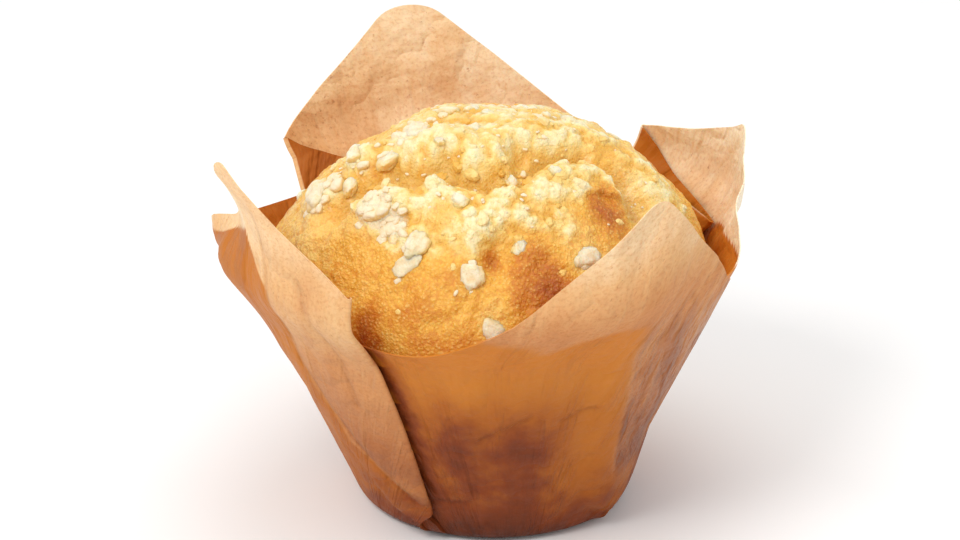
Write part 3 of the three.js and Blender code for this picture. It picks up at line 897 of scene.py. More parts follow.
    def place(self, kind: Array, k: Array, u: Array, slant: Array) -> tuple[Array, Array, Array]:
        """Azimuth, lift and sheet angle of columns at slants.

        Args:
            kind: Fold values.
            k: Petal numbers.
            u: Shares along each stretch.
            slant: Millimetres up the sheet.

        Returns:
            Azimuth in degrees, lift in millimetres, angle of the flat sheet in degrees.
        """
        pitch = self.pitch * smooth(slant / self.pleat_start)
        sheet_radius = self.base_radius + np.maximum(0.0, slant)
        slant = np.minimum(slant, self.fold_top)
        radius = self.cone_radius(slant)
        per_mm = 1.0 / np.radians(radius)
        shrink = radius / sheet_radius
        start, end = (self.pleat_edge(k, side, slant) for side in (-1, 1))
        here = self.along(self.petals, k, slant)
        end_turn = 90.0 * k + (end - here) * shrink
        start_turn = 90.0 * (k + 1) + (start - self.along(self.petals, k + 1, slant)) * shrink
        panel_az = mix(self.pleat_edge(k - 1, -1, slant), end, u)
        panel_turn = 90.0 * k + (panel_az - here) * shrink
        climb = smooth((panel_az - (start - self.ramp_az)) / (self.ramp_az - 2 * per_mm))
        bulge = self.pitch / 2 * self.opened(slant) * per_mm * np.sin(np.pi * u)
        drop = np.cos(np.pi * u) / 2
        azimuth = np.choose(kind, [panel_az, end + bulge, mix(end, start, u), start - bulge])
        lift = pitch * np.choose(kind, [2 * climb, 1.5 + drop, np.ones_like(u), 0.5 + drop])
        turns = [panel_turn, end_turn, mix(end_turn, start_turn, u), start_turn]
        return azimuth, lift, np.choose(kind, turns)

    def columns(self) -> tuple[Array, Array, Array]:
        """The columns of the sheet, in order round the case.

        Returns:
            Fold values, petal numbers and shares.
        """
        rows: list[tuple[int, int, float]] = []
        for k in range(4):
            ends = []
            for u in (0.0, 1.0):
                column = (np.array([value]) for value in (Fold.PANEL, k, u, self.tip_slant))
                ends.append(self.place(*column)[2][0])
            tip = (90.0 * k - ends[0]) / (ends[1] - ends[0])
            # The columns crowd towards the petal's tip and its pleat.
            first = round(self.per_panel * self.tip_share)
            rest = self.per_panel - first
            rows += [(Fold.PANEL, k, tip * math.sin(math.radians(90 * i / first))) for i in range(first)]
            rows += [(Fold.PANEL, k, mix(tip, 1.0, (i / rest) ** 1.35)) for i in range(rest + 1)]
            rows += [(Fold.OUTER, k, i / self.per_turn) for i in range(1, self.per_turn)]
            rows += [(Fold.MIDDLE, k, i / self.per_middle) for i in range(self.per_middle + 1)]
            rows += [(Fold.INNER, k, i / self.per_turn) for i in range(1, self.per_turn)]
        kind, k, u = zip(*rows)
        return np.array(kind), np.array(k), np.array(u)

    def tops(self, kind: Array, k: Array, u: Array) -> Array:
        """Slant of the free edge on each column, found by halving.

        Args:
            kind: Fold values.
            k: Petal numbers.
            u: Shares along each stretch.

        Returns:
            Millimetres up the sheet.
        """
        lower, upper = (np.full(len(u), end) for end in self.edge_range)
        low = self.sheet_half - self.base_radius
        for _ in range(30):
            slant = (lower + upper) / 2
            azimuth, _, turn = self.place(kind, k, u, slant)
            top = low + (self.sheet_edge(turn) - low) * self.around(azimuth, "reach")
            for trim in self.trims:
                top = top + trim.rise * bell(apart(turn, trim.turn) / trim.wide)
            lower, upper = np.where(top > slant, slant, lower), np.where(top > slant, upper, slant)
        return slant

    def marks(
        self, kind: Array, k: Array, azimuth: Array, slant: Array, turn: Array
    ) -> dict[str, Array]:
        """What the finish needs to know of each point.

        Args:
            kind: Fold values.
            k: Petal numbers.
            azimuth: Degrees.
            slant: Millimetres up the sheet.
            turn: Degrees on the flat sheet.

        Returns:
            Named numbers, and the place on the flat sheet.
        """
        fold = np.minimum(slant, self.fold_top)
        per_mm = 1.0 / np.radians(self.cone_radius(fold))
        around = np.mod(azimuth, 360.0)
        sheet = np.stack([*polar(self.base_radius + slant, turn), np.zeros_like(turn)], axis=-1)
        strand = np.stack([*polar(40.0, turn), 0.08 * slant], axis=-1)
        left_start = stepped(slant, self.strip_edge) + 360.0 * (k // 4)
        start = np.where(k % 4 == LEFT, left_start, self.pleat_edge(k, -1, fold))
        past_start = (azimuth - start) / per_mm
        past_edge = (azimuth - self.pleat_edge(k - 1, 1, fold)) / per_mm
        plied = smooth((slant - 9.0) / 10.0) * smooth((past_start + 0.8) / 1.6) * (kind < Fold.MIDDLE)
        spots, heights, blurs = zip(*self.soak_line)
        height, blur = (np.interp(around, spots, column, period=360.0) for column in (heights, blurs))
        wander = Grain(5).waves(sheet, 14.0, 3)
        soak = smooth((height - slant + 0.35 * blur * wander) / blur + 0.5)
        soak = np.where(kind == Fold.MIDDLE, 1.0, soak)
        # The last column is painted light on the tone.
        starts, lows, spans, painted_light = (np.array(column)[k % 4] for column in zip(*self.drying_and_light))
        panel = mix(lows, 1.0, smooth((slant - starts) / spans))
        strip = np.where(
            k % 4 == FRONT, stepped(slant, self.front_strip_tone), stepped(slant, self.strip_tone)
        )
        # Browner towards the foot and most at the front: partly baked browning, partly painted shade
        # where the lower wall faces down.
        facing = smooth(0.3 + 0.9 * np.cos(np.radians(around - self.front_az)))
        char = mix(0.34 + 0.15 * smooth((20.0 - slant) / 24.0), stepped(slant, self.front_char_and_shade), facing)
        char = char + (1 - 0.7 * plied) * sum(stain.near(around, slant) for stain in self.stains_and_shade)
        # A painted shadow on the panel just past each pleat's fold edge, browned a little as well.
        edge = bell(np.maximum(0.0, past_edge - 0.3) / 2.4) * (past_edge > -0.5) * (kind == Fold.PANEL)
        char = char + edge * stepped(slant, self.edge_shadow_and_char) * np.where(k % 4 == REAR, 0.35, 1.0)
        char = np.where((kind == Fold.MIDDLE) & (k % 4 == REAR), 0.45, char)
        turned = np.mod(turn, 360.0)
        speck = smooth((turned - 86.0) / 44.0) * (turned < 150.0) * smooth((slant - 56.0) / 6.0)
        return {
            "soak": soak,
            "plies": plied,
            "gloss": plied * (k % 4 == FRONT) * smooth((66.0 - slant) / 10.0),
            "tone": mix(panel, strip, plied) + painted_light,
            "char": char,
            "speck": speck,
            "line": self.nearest_crease(around, slant),
            "sheet": sheet,
            "strand": strand,
        }

    def nearest_crease(self, azimuth: Array, slant: Array) -> Array:
        """How near each point is to a pressed line.

        Args:
            azimuth: Degrees.
            slant: Millimetres up the sheet.

        Returns:
            Millimetres to the nearest line, up to three.
        """
        nearest = np.full(slant.shape, 3.0)
        legs = [leg for line in self.creases for leg in zip(line, line[1:])]
        for (start_az, start), (end_az, end) in legs:
            arc = math.radians(self.cone_radius((start + end) / 2))
            dx, dy = (end_az - start_az) * arc, end - start
            x, y = (azimuth - start_az) * arc, slant - start
            t = np.clip((x * dx + y * dy) / (dx * dx + dy * dy), 0.0, 1.0)
            nearest = np.minimum(nearest, np.hypot(x - t * dx, y - t * dy) + 0.25)
        return nearest

    def shell(self) -> Shell:
        """Both faces of the sheet, its free edge and its floor.

        Returns:
            The closed shell.
        """
        kind, k, u = self.columns()
        tops = self.tops(kind, k, u)
        share = np.linspace(0.0, 1.0, self.rows + 1)[:, None]
        # The rows lie closer together where the floor bends into the wall.
        share = np.where(share < 0.12, share * 0.75, mix(0.09, 1.0, (share - 0.12) / 0.88))
        slant = -self.base_turn + share * (tops + self.base_turn)[None, :]
        kind, k, u = (np.broadcast_to(values, slant.shape) for values in (kind, k, u))
        azimuth, lift, turn = self.place(kind, k, u, slant)
        marks = self.marks(kind, k, azimuth, slant, turn)
        pressed = 0.34 * bell(marks["line"] / 1.5)
        grid = self.point(azimuth, slant, lift + self.wrinkles(azimuth, slant) - pressed)
        normal = self.normals(grid)
        normal[0] = (0.0, 0.0, -1.0)
        rows, count = slant.shape
        offset = np.full((rows, 1, 1), self.paper / 2)
        offset[0] = self.stock / 2
        skins = [(grid + side * offset * normal).reshape(-1, 3) for side in (1, -1)]
        points = np.concatenate([*skins, [(0.0, 0.0, 0.0), (0.0, 0.0, self.stock)]])
        i, j = np.meshgrid(np.arange(rows - 1), np.arange(count), indexing="ij")
        a, b = i * count + j, i * count + (j + 1) % count
        skin, last = rows * count, (rows - 1) * count
        outer = np.stack([a, b, b + count, a + count], axis=-1).reshape(-1, 4)
        inner = outer[:, [0, 3, 2, 1]] + skin
        j = np.arange(count)
        after, hub = (j + 1) % count, np.full(count, 2 * skin)
        rim = np.stack([last + j, last + after, last + skin + after, last + skin + j], axis=-1)
        floor_out = np.stack([hub, after, j], axis=-1)
        floor_in = np.stack([hub + 1, skin + j, skin + after], axis=-1)
        quads = np.concatenate([outer, inner, rim])
        faces = np.concatenate([quads[:, [0, 1, 2]], quads[:, [0, 2, 3]], floor_out, floor_in])
        kept = {}
        for key, values in marks.items():
            flat = values.reshape(slant.size, -1)
            hubs = np.zeros((2, 3)) if values.ndim == 3 else np.full((2, 1), flat[:count].mean())
            kept[key] = np.concatenate([flat, flat, hubs]).squeeze()
        return Shell(points, faces, kept)

    @staticmethod
    def normals(grid: Array) -> Array:
        """Directions square to the sheet.

        Args:
            grid: Rings of points, the lowest first.

        Returns:
            Unit vectors, out from the axis.
        """
        def unit(v: Array) -> Array:
            """Vectors of length one."""
            return v / np.maximum(np.linalg.norm(v, axis=-1, keepdims=True), 1e-9)

        ahead = unit(np.roll(grid, -1, axis=1) - grid)
        across = ahead + np.roll(ahead, 1, axis=1)
        rise = unit(grid[1:] - grid[:-1])
        up = np.zeros_like(grid)
        up[:-1] += rise
        up[1:] += rise
        return unit(np.cross(across, up))

    def wrinkles(self, azimuth: Array, slant: Array) -> Array:
        """Fine unevenness of the sheet, in millimetres out from the wall.

        Args:
            azimuth: Degrees.
            slant: Millimetres up the sheet.

        Returns:
            The offset of each point, the same for every layer at a place.
        """
        where = np.stack([*polar(40.0, azimuth), 0.35 * slant], axis=-1)
        grain = Grain(9)
        soft = grain.waves(where, 11.0, 3)
        ridges = np.abs(grain.waves(where + 60.0, 8.0, 2))
        free = smooth((slant - 46.0) / 14.0)
        wall = smooth(slant / 10.0) * (1 - free)
        return wall * (0.22 * soft - 0.34 * ridges) + free * (0.3 * soft - 0.42 * ridges)

    def build(self) -> bpy.types.Object:
        """Makes the case.

        Returns:
            The object.
        """
        made = self.shell().piece("tulip_case", self.finish.material())
        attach(made, "root")
        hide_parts("paper_case")
        return made


# ---- cake

@dataclass
class Cake:
    """The baked cake: a cone in the case under a split, craggy dome.

    The split has azimuths and plan distances. A crag adds its width and rise, and a patch its
    width and how much more toasted, torn and sugar-glazed the crust is there.
    """

    base_radius: float = 24.3
    wall_angle: float = 23.5
    paper: float = 0.6
    gap: float = 0.35
    chamfer: float = 3.2
    dome_z: float = 40.5
    dome_radius: float = 43.0
    dome_rise: float = 34.5
    facet: float = 0.37
    row_gap: float = 0.87
    split: Table = (
        (213, 36), (211, 30), (214, 27), (219, 22.5), (235, 21.5), (243, 17.5), (254, 19.8),
        (268, 20), (283, 19), (294, 16.5), (316, 16), (333, 20), (336, 26), (332, 31), (322, 36),
    )
    split_depth: float = 4.3
    split_width: float = 2.7
    lip_rise: float = 2.3
    lip_at: float = 3.4
    crown_rise: float = 2.2
    crown_at: float = 8.0
    knob_count: int = 110
    knob_rise: float = 1.0
    knob_widths: tuple[float, float] = (2.2, 5.5)
    crags: Table = (
        (155, 30, 13, -2.6), (295, 12, 2.4, -2.6), (232, 14, 5, 1.2), (193, 22.5, 3.2, 1.4),
        (272.6, 33.2, 3.0, -2.4), (266, 30, 3.2, 1.5), (211, 31, 3, -1.6), (253, 15, 2.2, 1.3),
        (285, 10, 3.2, 1.0), (229, 29, 5, 0.8), (337, 31, 6, -1.8), (310, 27, 5, 0.9),
    )
    keys: tuple[str, ...] = ("torn", "hollow", "ridge", "toast", "glaze")
    patches: Table = (
        (319, 29, 4.2, 0.75, -1.2), (312, 31, 4.0, 0.45, -0.8), (341, 28, 7.0, -0.4, 1.1, 0.4),
        (333, 38, 5.0, -0.2, 0.6), (284, 36, 5.5, 0.75, -1.0), (291, 39, 4.5, 0.5, -0.8),
        (229, 38.5, 7.5, 0.22, -0.9), (239.5, 42.5, 2.6, 0.75, -1.0), (216, 38, 6.0, -0.1, -0.6),
        (258, 40, 7.0, 0.25, 0.15), (247, 38.5, 4.5, 0.2, -0.2), (203, 38, 5.0, -0.1, -0.3),
        (266, 30, 3.4, -0.2, 0.9), (254, 27.5, 3.4, 0.1, -0.8), (247, 35.5, 3.0, 0.05, -0.5),
        (271.5, 33, 1.9, 0.8, -0.8), (295, 12, 2.0, 0.4, -0.4), (215, 15, 2.0, 0.2, -0.7),
        (195, 19, 1.8, 0.3, -0.7), (207, 24, 2.0, 0.35, -0.8), (186, 22, 6.0, 0.0, 0.6),
        (203, 30, 5.0, 0.0, 0.4), (227, 29.6, 3.2, -0.2, 0.6, 0.9), (233, 30, 3.0, -0.2, 0.6, 0.8),
        (239, 30.4, 2.6, -0.2, 0.6, 0.7), (197, 31, 4.5, -0.2, 0.5, 0.6),
        (197, 13.5, 4.2, 0.0, 0.5, 0.5), (205, 18, 3.5, 0.0, 0.4, 0.4), (20, 36, 8.0, 0.5, -0.9),
        (65, 33, 6.0, 0.35, -0.7), (100, 38, 10.0, 0.5, -0.9), (128, 27, 5.0, 0.1, 0.7),
        (160, 38, 8.0, 0.45, -0.9), (90, 20, 5.0, 0.3, -0.6),
    )
    finish: CrustFinish = CrustFinish()

    def knobs(self) -> list[tuple[float, float, float, float]]:
        """Low swellings of the crust, drawn from a seed, and the crags.

        Returns:
            Plan place, width and rise of each.
        """
        draw = seeded(11)
        found = []
        for _ in range(self.knob_count):
            r = self.dome_radius * math.sqrt(next(draw))
            a = 2 * math.pi * next(draw)
            width = mix(*self.knob_widths, next(draw) ** 1.5)
            y = r * math.sin(a)
            rough = mix(0.6, 1.2, smooth((y + 22) / 16))
            rise = self.knob_rise * rough * mix(-0.6, 1.0, next(draw))
            found.append((r * math.cos(a), y, width, rise))
        return found + [(*polar(r, azimuth), width, rise) for azimuth, r, width, rise in self.crags]

    def split_at(self, x: Array, y: Array) -> tuple[Array, Array]:
        """Where a place lies by the split.

        Args:
            x: Plan place.
            y: Plan place.

        Returns:
            Distance from it, positive in front, and the share along it.
        """
        best = np.full(x.shape, 1e9)
        along = np.zeros(x.shape)
        ends = [polar(r, azimuth) for azimuth, r in self.split]
        for i, ((ax, ay), (bx, by)) in enumerate(zip(ends, ends[1:])):
            dx, dy = bx - ax, by - ay
            t = np.clip(((x - ax) * dx + (y - ay) * dy) / (dx * dx + dy * dy), 0, 1)
            ox, oy = x - ax - t * dx, y - ay - t * dy
            distance = np.hypot(ox, oy)
            closer = distance < np.abs(best)
            side = np.where(dx * oy - dy * ox < 0, 1.0, -1.0)
            best = np.where(closer, side * distance, best)
            along = np.where(closer, (i + t) / (len(ends) - 1), along)
        return best, along

    def relief(self, x: Array, y: Array) -> tuple[Array, Array, Array]:
        """How far the crust stands out from the plain dome.

        Args:
            x: Plan place.
            y: Plan place.

        Returns:
            The offset, and the split's distance and strength there.
        """
        distance, along = self.split_at(x, y)
        strength = smooth(along / 0.12) * smooth((1 - along) / 0.12)
        valley = -self.split_depth * bell((distance + 0.6) / self.split_width)
        lip_width = np.where(distance < self.lip_at, 2.0, 5.5)
        lip = self.lip_rise * bell((distance - self.lip_at) / lip_width)
        crown = self.crown_rise * bell((distance + self.crown_at) / 4.5)
        swell = np.zeros(x.shape)
        for kx, ky, width, rise in self.knobs():
            d2 = ((x - kx) ** 2 + (y - ky) ** 2) / width**2
            swell += np.where(d2 < 9, rise * np.exp(-d2), 0.0)
        edge = smooth((self.dome_radius - np.hypot(x, y)) / 5)
        return edge * (strength * (valley + lip + crown) + swell), distance, strength

    def dome(self, azimuth: Array, tilt: Array) -> tuple[Array, Array]:
        """The plain dome.

        Args:
            azimuth: Radians.
            tilt: Radians from the top.

        Returns:
            Points and outward directions.
        """
        c, s = np.cos(azimuth), np.sin(azimuth)
        r = self.dome_radius * np.sin(tilt)
        slope = np.sin(tilt) / self.dome_radius
        normal = np.stack([slope * c, slope * s, np.cos(tilt) / self.dome_rise], axis=-1)
        normal /= np.linalg.norm(normal, axis=-1, keepdims=True)
        return np.stack([r * c, r * s, self.dome_z + self.dome_rise * np.cos(tilt)], axis=-1), normal

    def wall(self, z: float) -> float:
        """Radius of the cake's own wall at a height."""
        angle = math.radians(self.wall_angle)
        inset = (self.paper / 2 + self.gap) / math.cos(angle) + 0.3
        return self.base_radius + z * math.tan(angle) - inset

    def surface(self, azimuth: Array, tilt: Array) -> tuple[Array, Array, dict[str, Array]]:
        """The crust at dome directions, crumb and all.

        Args:
            azimuth: Radians.
            tilt: Radians from the top.

        Returns:
            Points, outward directions and what the finish needs of each.
        """
        plain, normal = self.dome(azimuth, tilt)
        grain = Grain(3)
        shifts = [
            0.9 * grain.waves(plain + shift, 5.0, 1) + 0.45 * grain.waves(plain + shift, 1.7, 1)
            for shift in (40.0, 80.0)
        ]
        x, y = plain[:, 0] + shifts[0], plain[:, 1] + shifts[1]
        rise, distance, strength = self.relief(x, y)
        broad = grain.waves(plain, 9.0, 2)
        cloud = grain.waves(plain, 4.0, 4)
        behind = smooth((distance + 13.0 + 2.0 * broad) / 5.0)
        torn = strength * behind * smooth((15.5 + 3.0 * broad - distance) / 7.0)
        crown = smooth((24.0 - np.hypot(x, y - 6.0) + 3.0 * broad) / 8.0)
        torn = np.maximum(torn, 0.9 * crown)
        low = smooth((np.hypot(x, y) - 26.0) / 18.0)
        toast = 0.26 * low + 0.25 * cloud * low
        glaze = np.zeros(x.shape)
        for azimuth_deg, away, wide, *changes in self.patches:
            px, py = polar(away, azimuth_deg)
            near = bell((np.hypot(x - px, y - py) / wide) ** 1.5)
            for layer, change in zip((toast, torn, glaze), changes):
                layer += change * near
        torn = np.clip(torn, 0.0, 1.0)

        def lumps(size: float, shift: float) -> Array:
            """Rounded lumps with creases between, about zero."""
            return np.maximum(-0.4, 1.0 - (grain.cells(plain + shift, size) / 0.75) ** 2) - 0.5

        large, middling, little = lumps(5.0, 0.0), lumps(2.4, 7.0), lumps(1.15, 13.0)
        uneven = 0.75 + 0.45 * grain.waves(plain + 25.0, 8.0, 1)
        edge = smooth((self.dome_radius - np.hypot(plain[:, 0], plain[:, 1])) / 4)
        detail = mix(0.3, 0.85, torn) * large + mix(0.28, 0.66, torn) * middling
        detail = uneven * detail + mix(0.2, 0.36, torn) * little + 0.3 * cloud
        total = rise + edge * detail
        near = bell((distance + 0.9) / 1.8) * strength
        marks = {
            "torn": torn,
            # Painted shade in the split and the hollows.
            "hollow": np.clip(near + 0.35 * np.clip(-rise / 2.0, 0, 1) - 0.3 * middling, 0, 1.3),
            # Painted light on the lumps' crests and painted shade in the creases between them.
            "ridge": np.clip(0.5 + 0.7 * large + 0.5 * middling + 0.25 * little + 0.12 * rise, 0, 1),
            "toast": np.clip(toast, 0, 1.4),
            "glaze": np.clip(glaze, 0, 1),
        }
        return plain + normal * total[:, None], normal, marks

    def rings(self) -> tuple[list[Array], dict[str, list[Array]]]:
        """Rings of points from the top to the floor.

        Returns:
            The rings, and what the finish needs of each.
        """
        rings: list[Array] = []
        marks: dict[str, list[Array]] = {key: [] for key in self.keys}

        def keep(points: Array, found: dict[str, Array]) -> None:
            """Adds one ring."""
            rings.append(points)
            for key, values in marks.items():
                values.append(found.get(key, np.zeros(len(points))))

        def level(r: float, count: int, height: float) -> None:
            """Adds one plain ring of the part inside the case."""
            a = 2 * math.pi * np.arange(count) / count
            ring = np.stack([r * np.cos(a), r * np.sin(a), np.full(count, height)], axis=-1)
            keep(ring, {"toast": np.ones(count)})

        point, _, found = self.surface(np.zeros(1), np.zeros(1))
        keep(point, found)
        tilt, z = 0.0, self.dome_z + self.dome_rise
        while True:
            c, s = math.cos(tilt + 0.02), math.sin(tilt + 0.02)
            tilt += self.facet * self.row_gap / math.hypot(self.dome_radius * c, self.dome_rise * s)
            z = self.dome_z + self.dome_rise * math.cos(tilt)
            r = self.dome_radius * math.sin(tilt)
            if tilt > math.pi / 2 or r > self.wall(z):
                break
            count = max(6, round(2 * math.pi * r / self.facet))
            turn = (len(rings) % 2) * 0.5
            azimuth = 2 * math.pi * (np.arange(count) + turn) / count
            point, _, found = self.surface(azimuth, np.full(count, tilt))
            keep(point, found)
        floor = self.paper + self.gap
        steps = 14
        for i in range(1, steps + 1):
            height = mix(z - 1.0, floor + self.chamfer, i / steps)
            r = self.wall(height) - (0.4 if i == steps else 0.0)
            level(r, round(2 * math.pi * r / mix(self.facet * 1.6, 3.0, i / steps)), height)
        level(self.base_radius - self.chamfer, 44, floor)
        level(0.0, 1, floor)
        return rings, marks

    def shell(self) -> Shell:
        """The closed skin over the rings.

        Returns:
            The shell.
        """
        rings, marks = self.rings()
        first = np.cumsum([0] + [len(ring) for ring in rings])
        faces: list[tuple[int, int, int]] = []
        for k in range(len(rings) - 1):
            upper, lower = rings[k], rings[k + 1]
            up_n, down_n = len(upper), len(lower)
            up_a = math.atan2(upper[0][1], upper[0][0])
            down_a = math.atan2(lower[0][1], lower[0][0])
            i = j = 0
            i_end, j_end = (up_n if up_n > 1 else 0), (down_n if down_n > 1 else 0)
            while i < i_end or j < j_end:
                next_up = up_a + 2 * math.pi * (i + 1) / up_n if i < i_end else math.inf
                next_down = down_a + 2 * math.pi * (j + 1) / down_n if j < j_end else math.inf
                a, b = first[k] + i % up_n, first[k + 1] + j % down_n
                if next_up < next_down:
                    faces.append((a, b, first[k] + (i + 1) % up_n))
                    i += 1
                else:
                    faces.append((a, b, first[k + 1] + (j + 1) % down_n))
                    j += 1
        points = np.concatenate(rings)
        kept = {key: np.concatenate(values) for key, values in marks.items()}
        kept["spot"] = points.copy()
        return Shell(points, np.array(faces), kept)

    def build(self) -> bpy.types.Object:
        """Makes the cake.

        Returns:
            The object.
        """
        made = self.shell().piece("cake", self.finish.material(), 80.0)
        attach(made, "root")
        return made


# ---- sugar

@dataclass
class Sugar:
    """Pearl-sugar nibs pressed into the dome, and the small grains between them."""

    cake: Cake
    large: Table = (
        (197, 32.0, 3.6), (198, 13.5, 3.3), (265, 35.6, 3.0), (301, 35.0, 2.9), (247, 32.3, 2.6),
        (271.5, 40.8, 2.2), (208, 20.0, 2.3), (128, 13, 2.3), (246, 35.2, 2.3), (195, 24.0, 1.9),
        (204, 27.5, 1.8), (60, 14, 2.6), (35, 19, 2.0), (106, 10, 1.8),
    )
    small: int = 16
    small_first: float = 1.7
    small_last: float = 1.0
    spacing: float = 1.5
    nib_reach: float = 37.0
    reach: float = 41.0
    clusters: tuple[tuple[float, float, float, int, float], ...] = (
        (197, 31, 3.4, 14, 1.4), (227, 29.6, 2.6, 12, 1.3), (233, 30, 2.6, 12, 1.3),
        (239, 30.4, 2.2, 8, 1.2), (199, 15.0, 3.0, 8, 1.3), (206, 20.5, 2.4, 5, 1.1),
        (150, 12, 4.0, 7, 1.1), (75, 13, 4.0, 7, 1.0), (247, 33, 2.4, 4, 0.7), (265, 36, 2.6, 4, 0.6),
        (20, 12, 6.0, 8, 0.9), (110, 22, 6.0, 7, 0.9), (320, 15, 5.0, 6, 0.8),
    )
    grains: int = 140
    crumbs: int = 150
    finish: SugarFinish = SugarFinish()

    def places(self) -> list[Lump]:
        """Where the nibs lie: the large ones by name, the small ones drawn clear of the rest.

        Returns:
            Azimuth in radians, plan distance and half width of each.
        """
        found = [(math.radians(az), r, half) for az, r, half in self.large]
        draw = seeded(5)
        while len(found) < len(self.large) + self.small:
            share = (len(found) - len(self.large)) / (self.small - 1)
            half = mix(self.small_first, self.small_last, share)
            az, r = 2 * math.pi * next(draw), self.nib_reach * math.sqrt(next(draw))
            gaps = (
                math.sqrt(r * r + q * q - 2 * r * q * math.cos(az - a)) / (half + h)
                for a, q, h in found
            )
            if min(gaps) > self.spacing:
                found.append((az, r, half))
        return found

    def stone(self, ball: Array, half: float, index: int) -> Array:
        """One knocked-about lump of sugar, on its own origin.

        Args:
            ball: Unit directions.
            half: Half its width in millimetres.
            index: Tells the lumps apart.

        Returns:
            Its points.
        """
        rng = np.random.default_rng(100 + index)
        blocky = np.sign(ball) * np.abs(ball) ** 0.75
        blocky /= np.linalg.norm(blocky, axis=1, keepdims=True) ** 0.6
        grain = Grain(200 + index)
        rough = 0.22 * grain.waves(ball, 1.2, 3) + 0.3 * (0.45 - grain.cells(ball, 0.75))
        shape = blocky * (1.0 + rough)[:, None]
        shape *= np.array([rng.uniform(1.0, 1.3), rng.uniform(0.7, 0.95), 0.66])
        turn = rng.uniform(0, 2 * math.pi)
        c, s = math.cos(turn), math.sin(turn)
        x, y = shape[:, 0] * c - shape[:, 1] * s, shape[:, 0] * s + shape[:, 1] * c
        return half * np.stack([x, y, shape[:, 2]], axis=-1)

    def gather(self, spots: list[Lump], detail: int, sink: float, first: int) -> Shell:
        """Many lumps as one shell.

        Args:
            spots: Azimuth, plan distance and half width of each.
            detail: Subdivisions of a lump.
            sink: Share of the half width that the lump's middle stands out of the crust.
            first: Number of the first lump.

        Returns:
            The shell.
        """
        ball, faces = icosphere(detail)
        azimuth, r, halves = (np.array(column) for column in zip(*spots))
        tilt = np.arcsin(np.minimum(0.99, r / self.cake.dome_radius))
        at, up, marks = self.cake.surface(azimuth, tilt)
        side = np.cross(up, (0.36, 0.93, 0.0))
        side /= np.linalg.norm(side, axis=1, keepdims=True)
        basis = np.stack([side, np.cross(up, side), up], axis=1)
        stones = [self.stone(ball, half, first + index) for index, half in enumerate(halves)]
        foot = at + up * (halves * sink)[:, None]
        every = np.concatenate([stone @ turn + spot for stone, turn, spot in zip(stones, basis, foot)])
        sides = np.concatenate([faces + index * len(ball) for index in range(len(halves))])
        kept = {key: np.repeat(values, len(ball)) for key, values in marks.items()}
        proud = [stone[:, 2] / half + sink for stone, half in zip(stones, halves)]
        return Shell(every, sides, {"spot": every, "proud": np.concatenate(proud), **kept})

    def scatter(self, rng: np.random.Generator) -> list[Lump]:
        """The lumps of the clusters.

        Args:
            rng: Source of the random draws.

        Returns:
            Azimuth in radians, plan distance and half width of each.
        """
        found = []
        for azimuth, r, spread, count, half in self.clusters:
            a = math.radians(azimuth)
            for _ in range(count):
                x = r * math.cos(a) + rng.normal(0.0, spread / 2)
                y = r * math.sin(a) + rng.normal(0.0, spread / 2)
                out = min(self.reach, math.hypot(x, y))
                found.append((math.atan2(y, x), out, half * rng.uniform(0.55, 1.15)))
        return found

    def strewn(self, rng: np.random.Generator, count: int, small: float, large: float) -> list[Lump]:
        """Loose bits, mostly over the torn crumb.

        Args:
            rng: Source of the random draws.
            count: The most that are kept.
            small: Least half width in millimetres.
            large: Greatest half width.

        Returns:
            Azimuth in radians, plan distance and half width of each.
        """
        azimuth = rng.uniform(0, 2 * math.pi, count * 4)
        r = self.reach * np.sqrt(rng.uniform(0, 1, count * 4))
        _, _, marks = self.cake.surface(azimuth, np.arcsin(r / self.cake.dome_radius))
        keep = rng.uniform(0, 1, count * 4) < 0.12 + 0.75 * marks["torn"]
        half = mix(small, large, rng.uniform(0, 1, count * 4) ** 2.5)
        return list(zip(azimuth[keep], r[keep], half[keep]))[:count]

    def build(self) -> list[bpy.types.Object]:
        """Makes the nibs, the small grains and the loose crumbs.

        Returns:
            The objects.
        """
        rng = np.random.default_rng(8)
        sugar = self.finish.material()
        grit = SugarFinish(paint(254, 240, 210), paint(250, 226, 176), glow=0.0).material("sugar_grit")
        crumb = CrustFinish(glow=0.0).material("loose_crumb")
        small = self.scatter(rng) + self.strewn(rng, self.grains, 0.25, 0.5)
        bits = self.gather(self.strewn(rng, self.crumbs, 0.5, 1.6), detail=3, sink=-0.3, first=3000)
        bits.marks["torn"][:] = 1.0
        bits.marks["toast"][:] = 0.0
        # Less painted shade on the loose crumbs.
        bits.marks["hollow"] *= 0.3
        found = [
            self.gather(self.places(), detail=4, sink=-0.3, first=0).piece("sugar_nibs", sugar, 70.0),
            self.gather(small, detail=2, sink=-0.2, first=900).piece("sugar_grains", grit, 60.0),
            bits.piece("loose_crumbs", crumb, 60.0),
        ]
        for made in found:
            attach(made, "root")
        return found


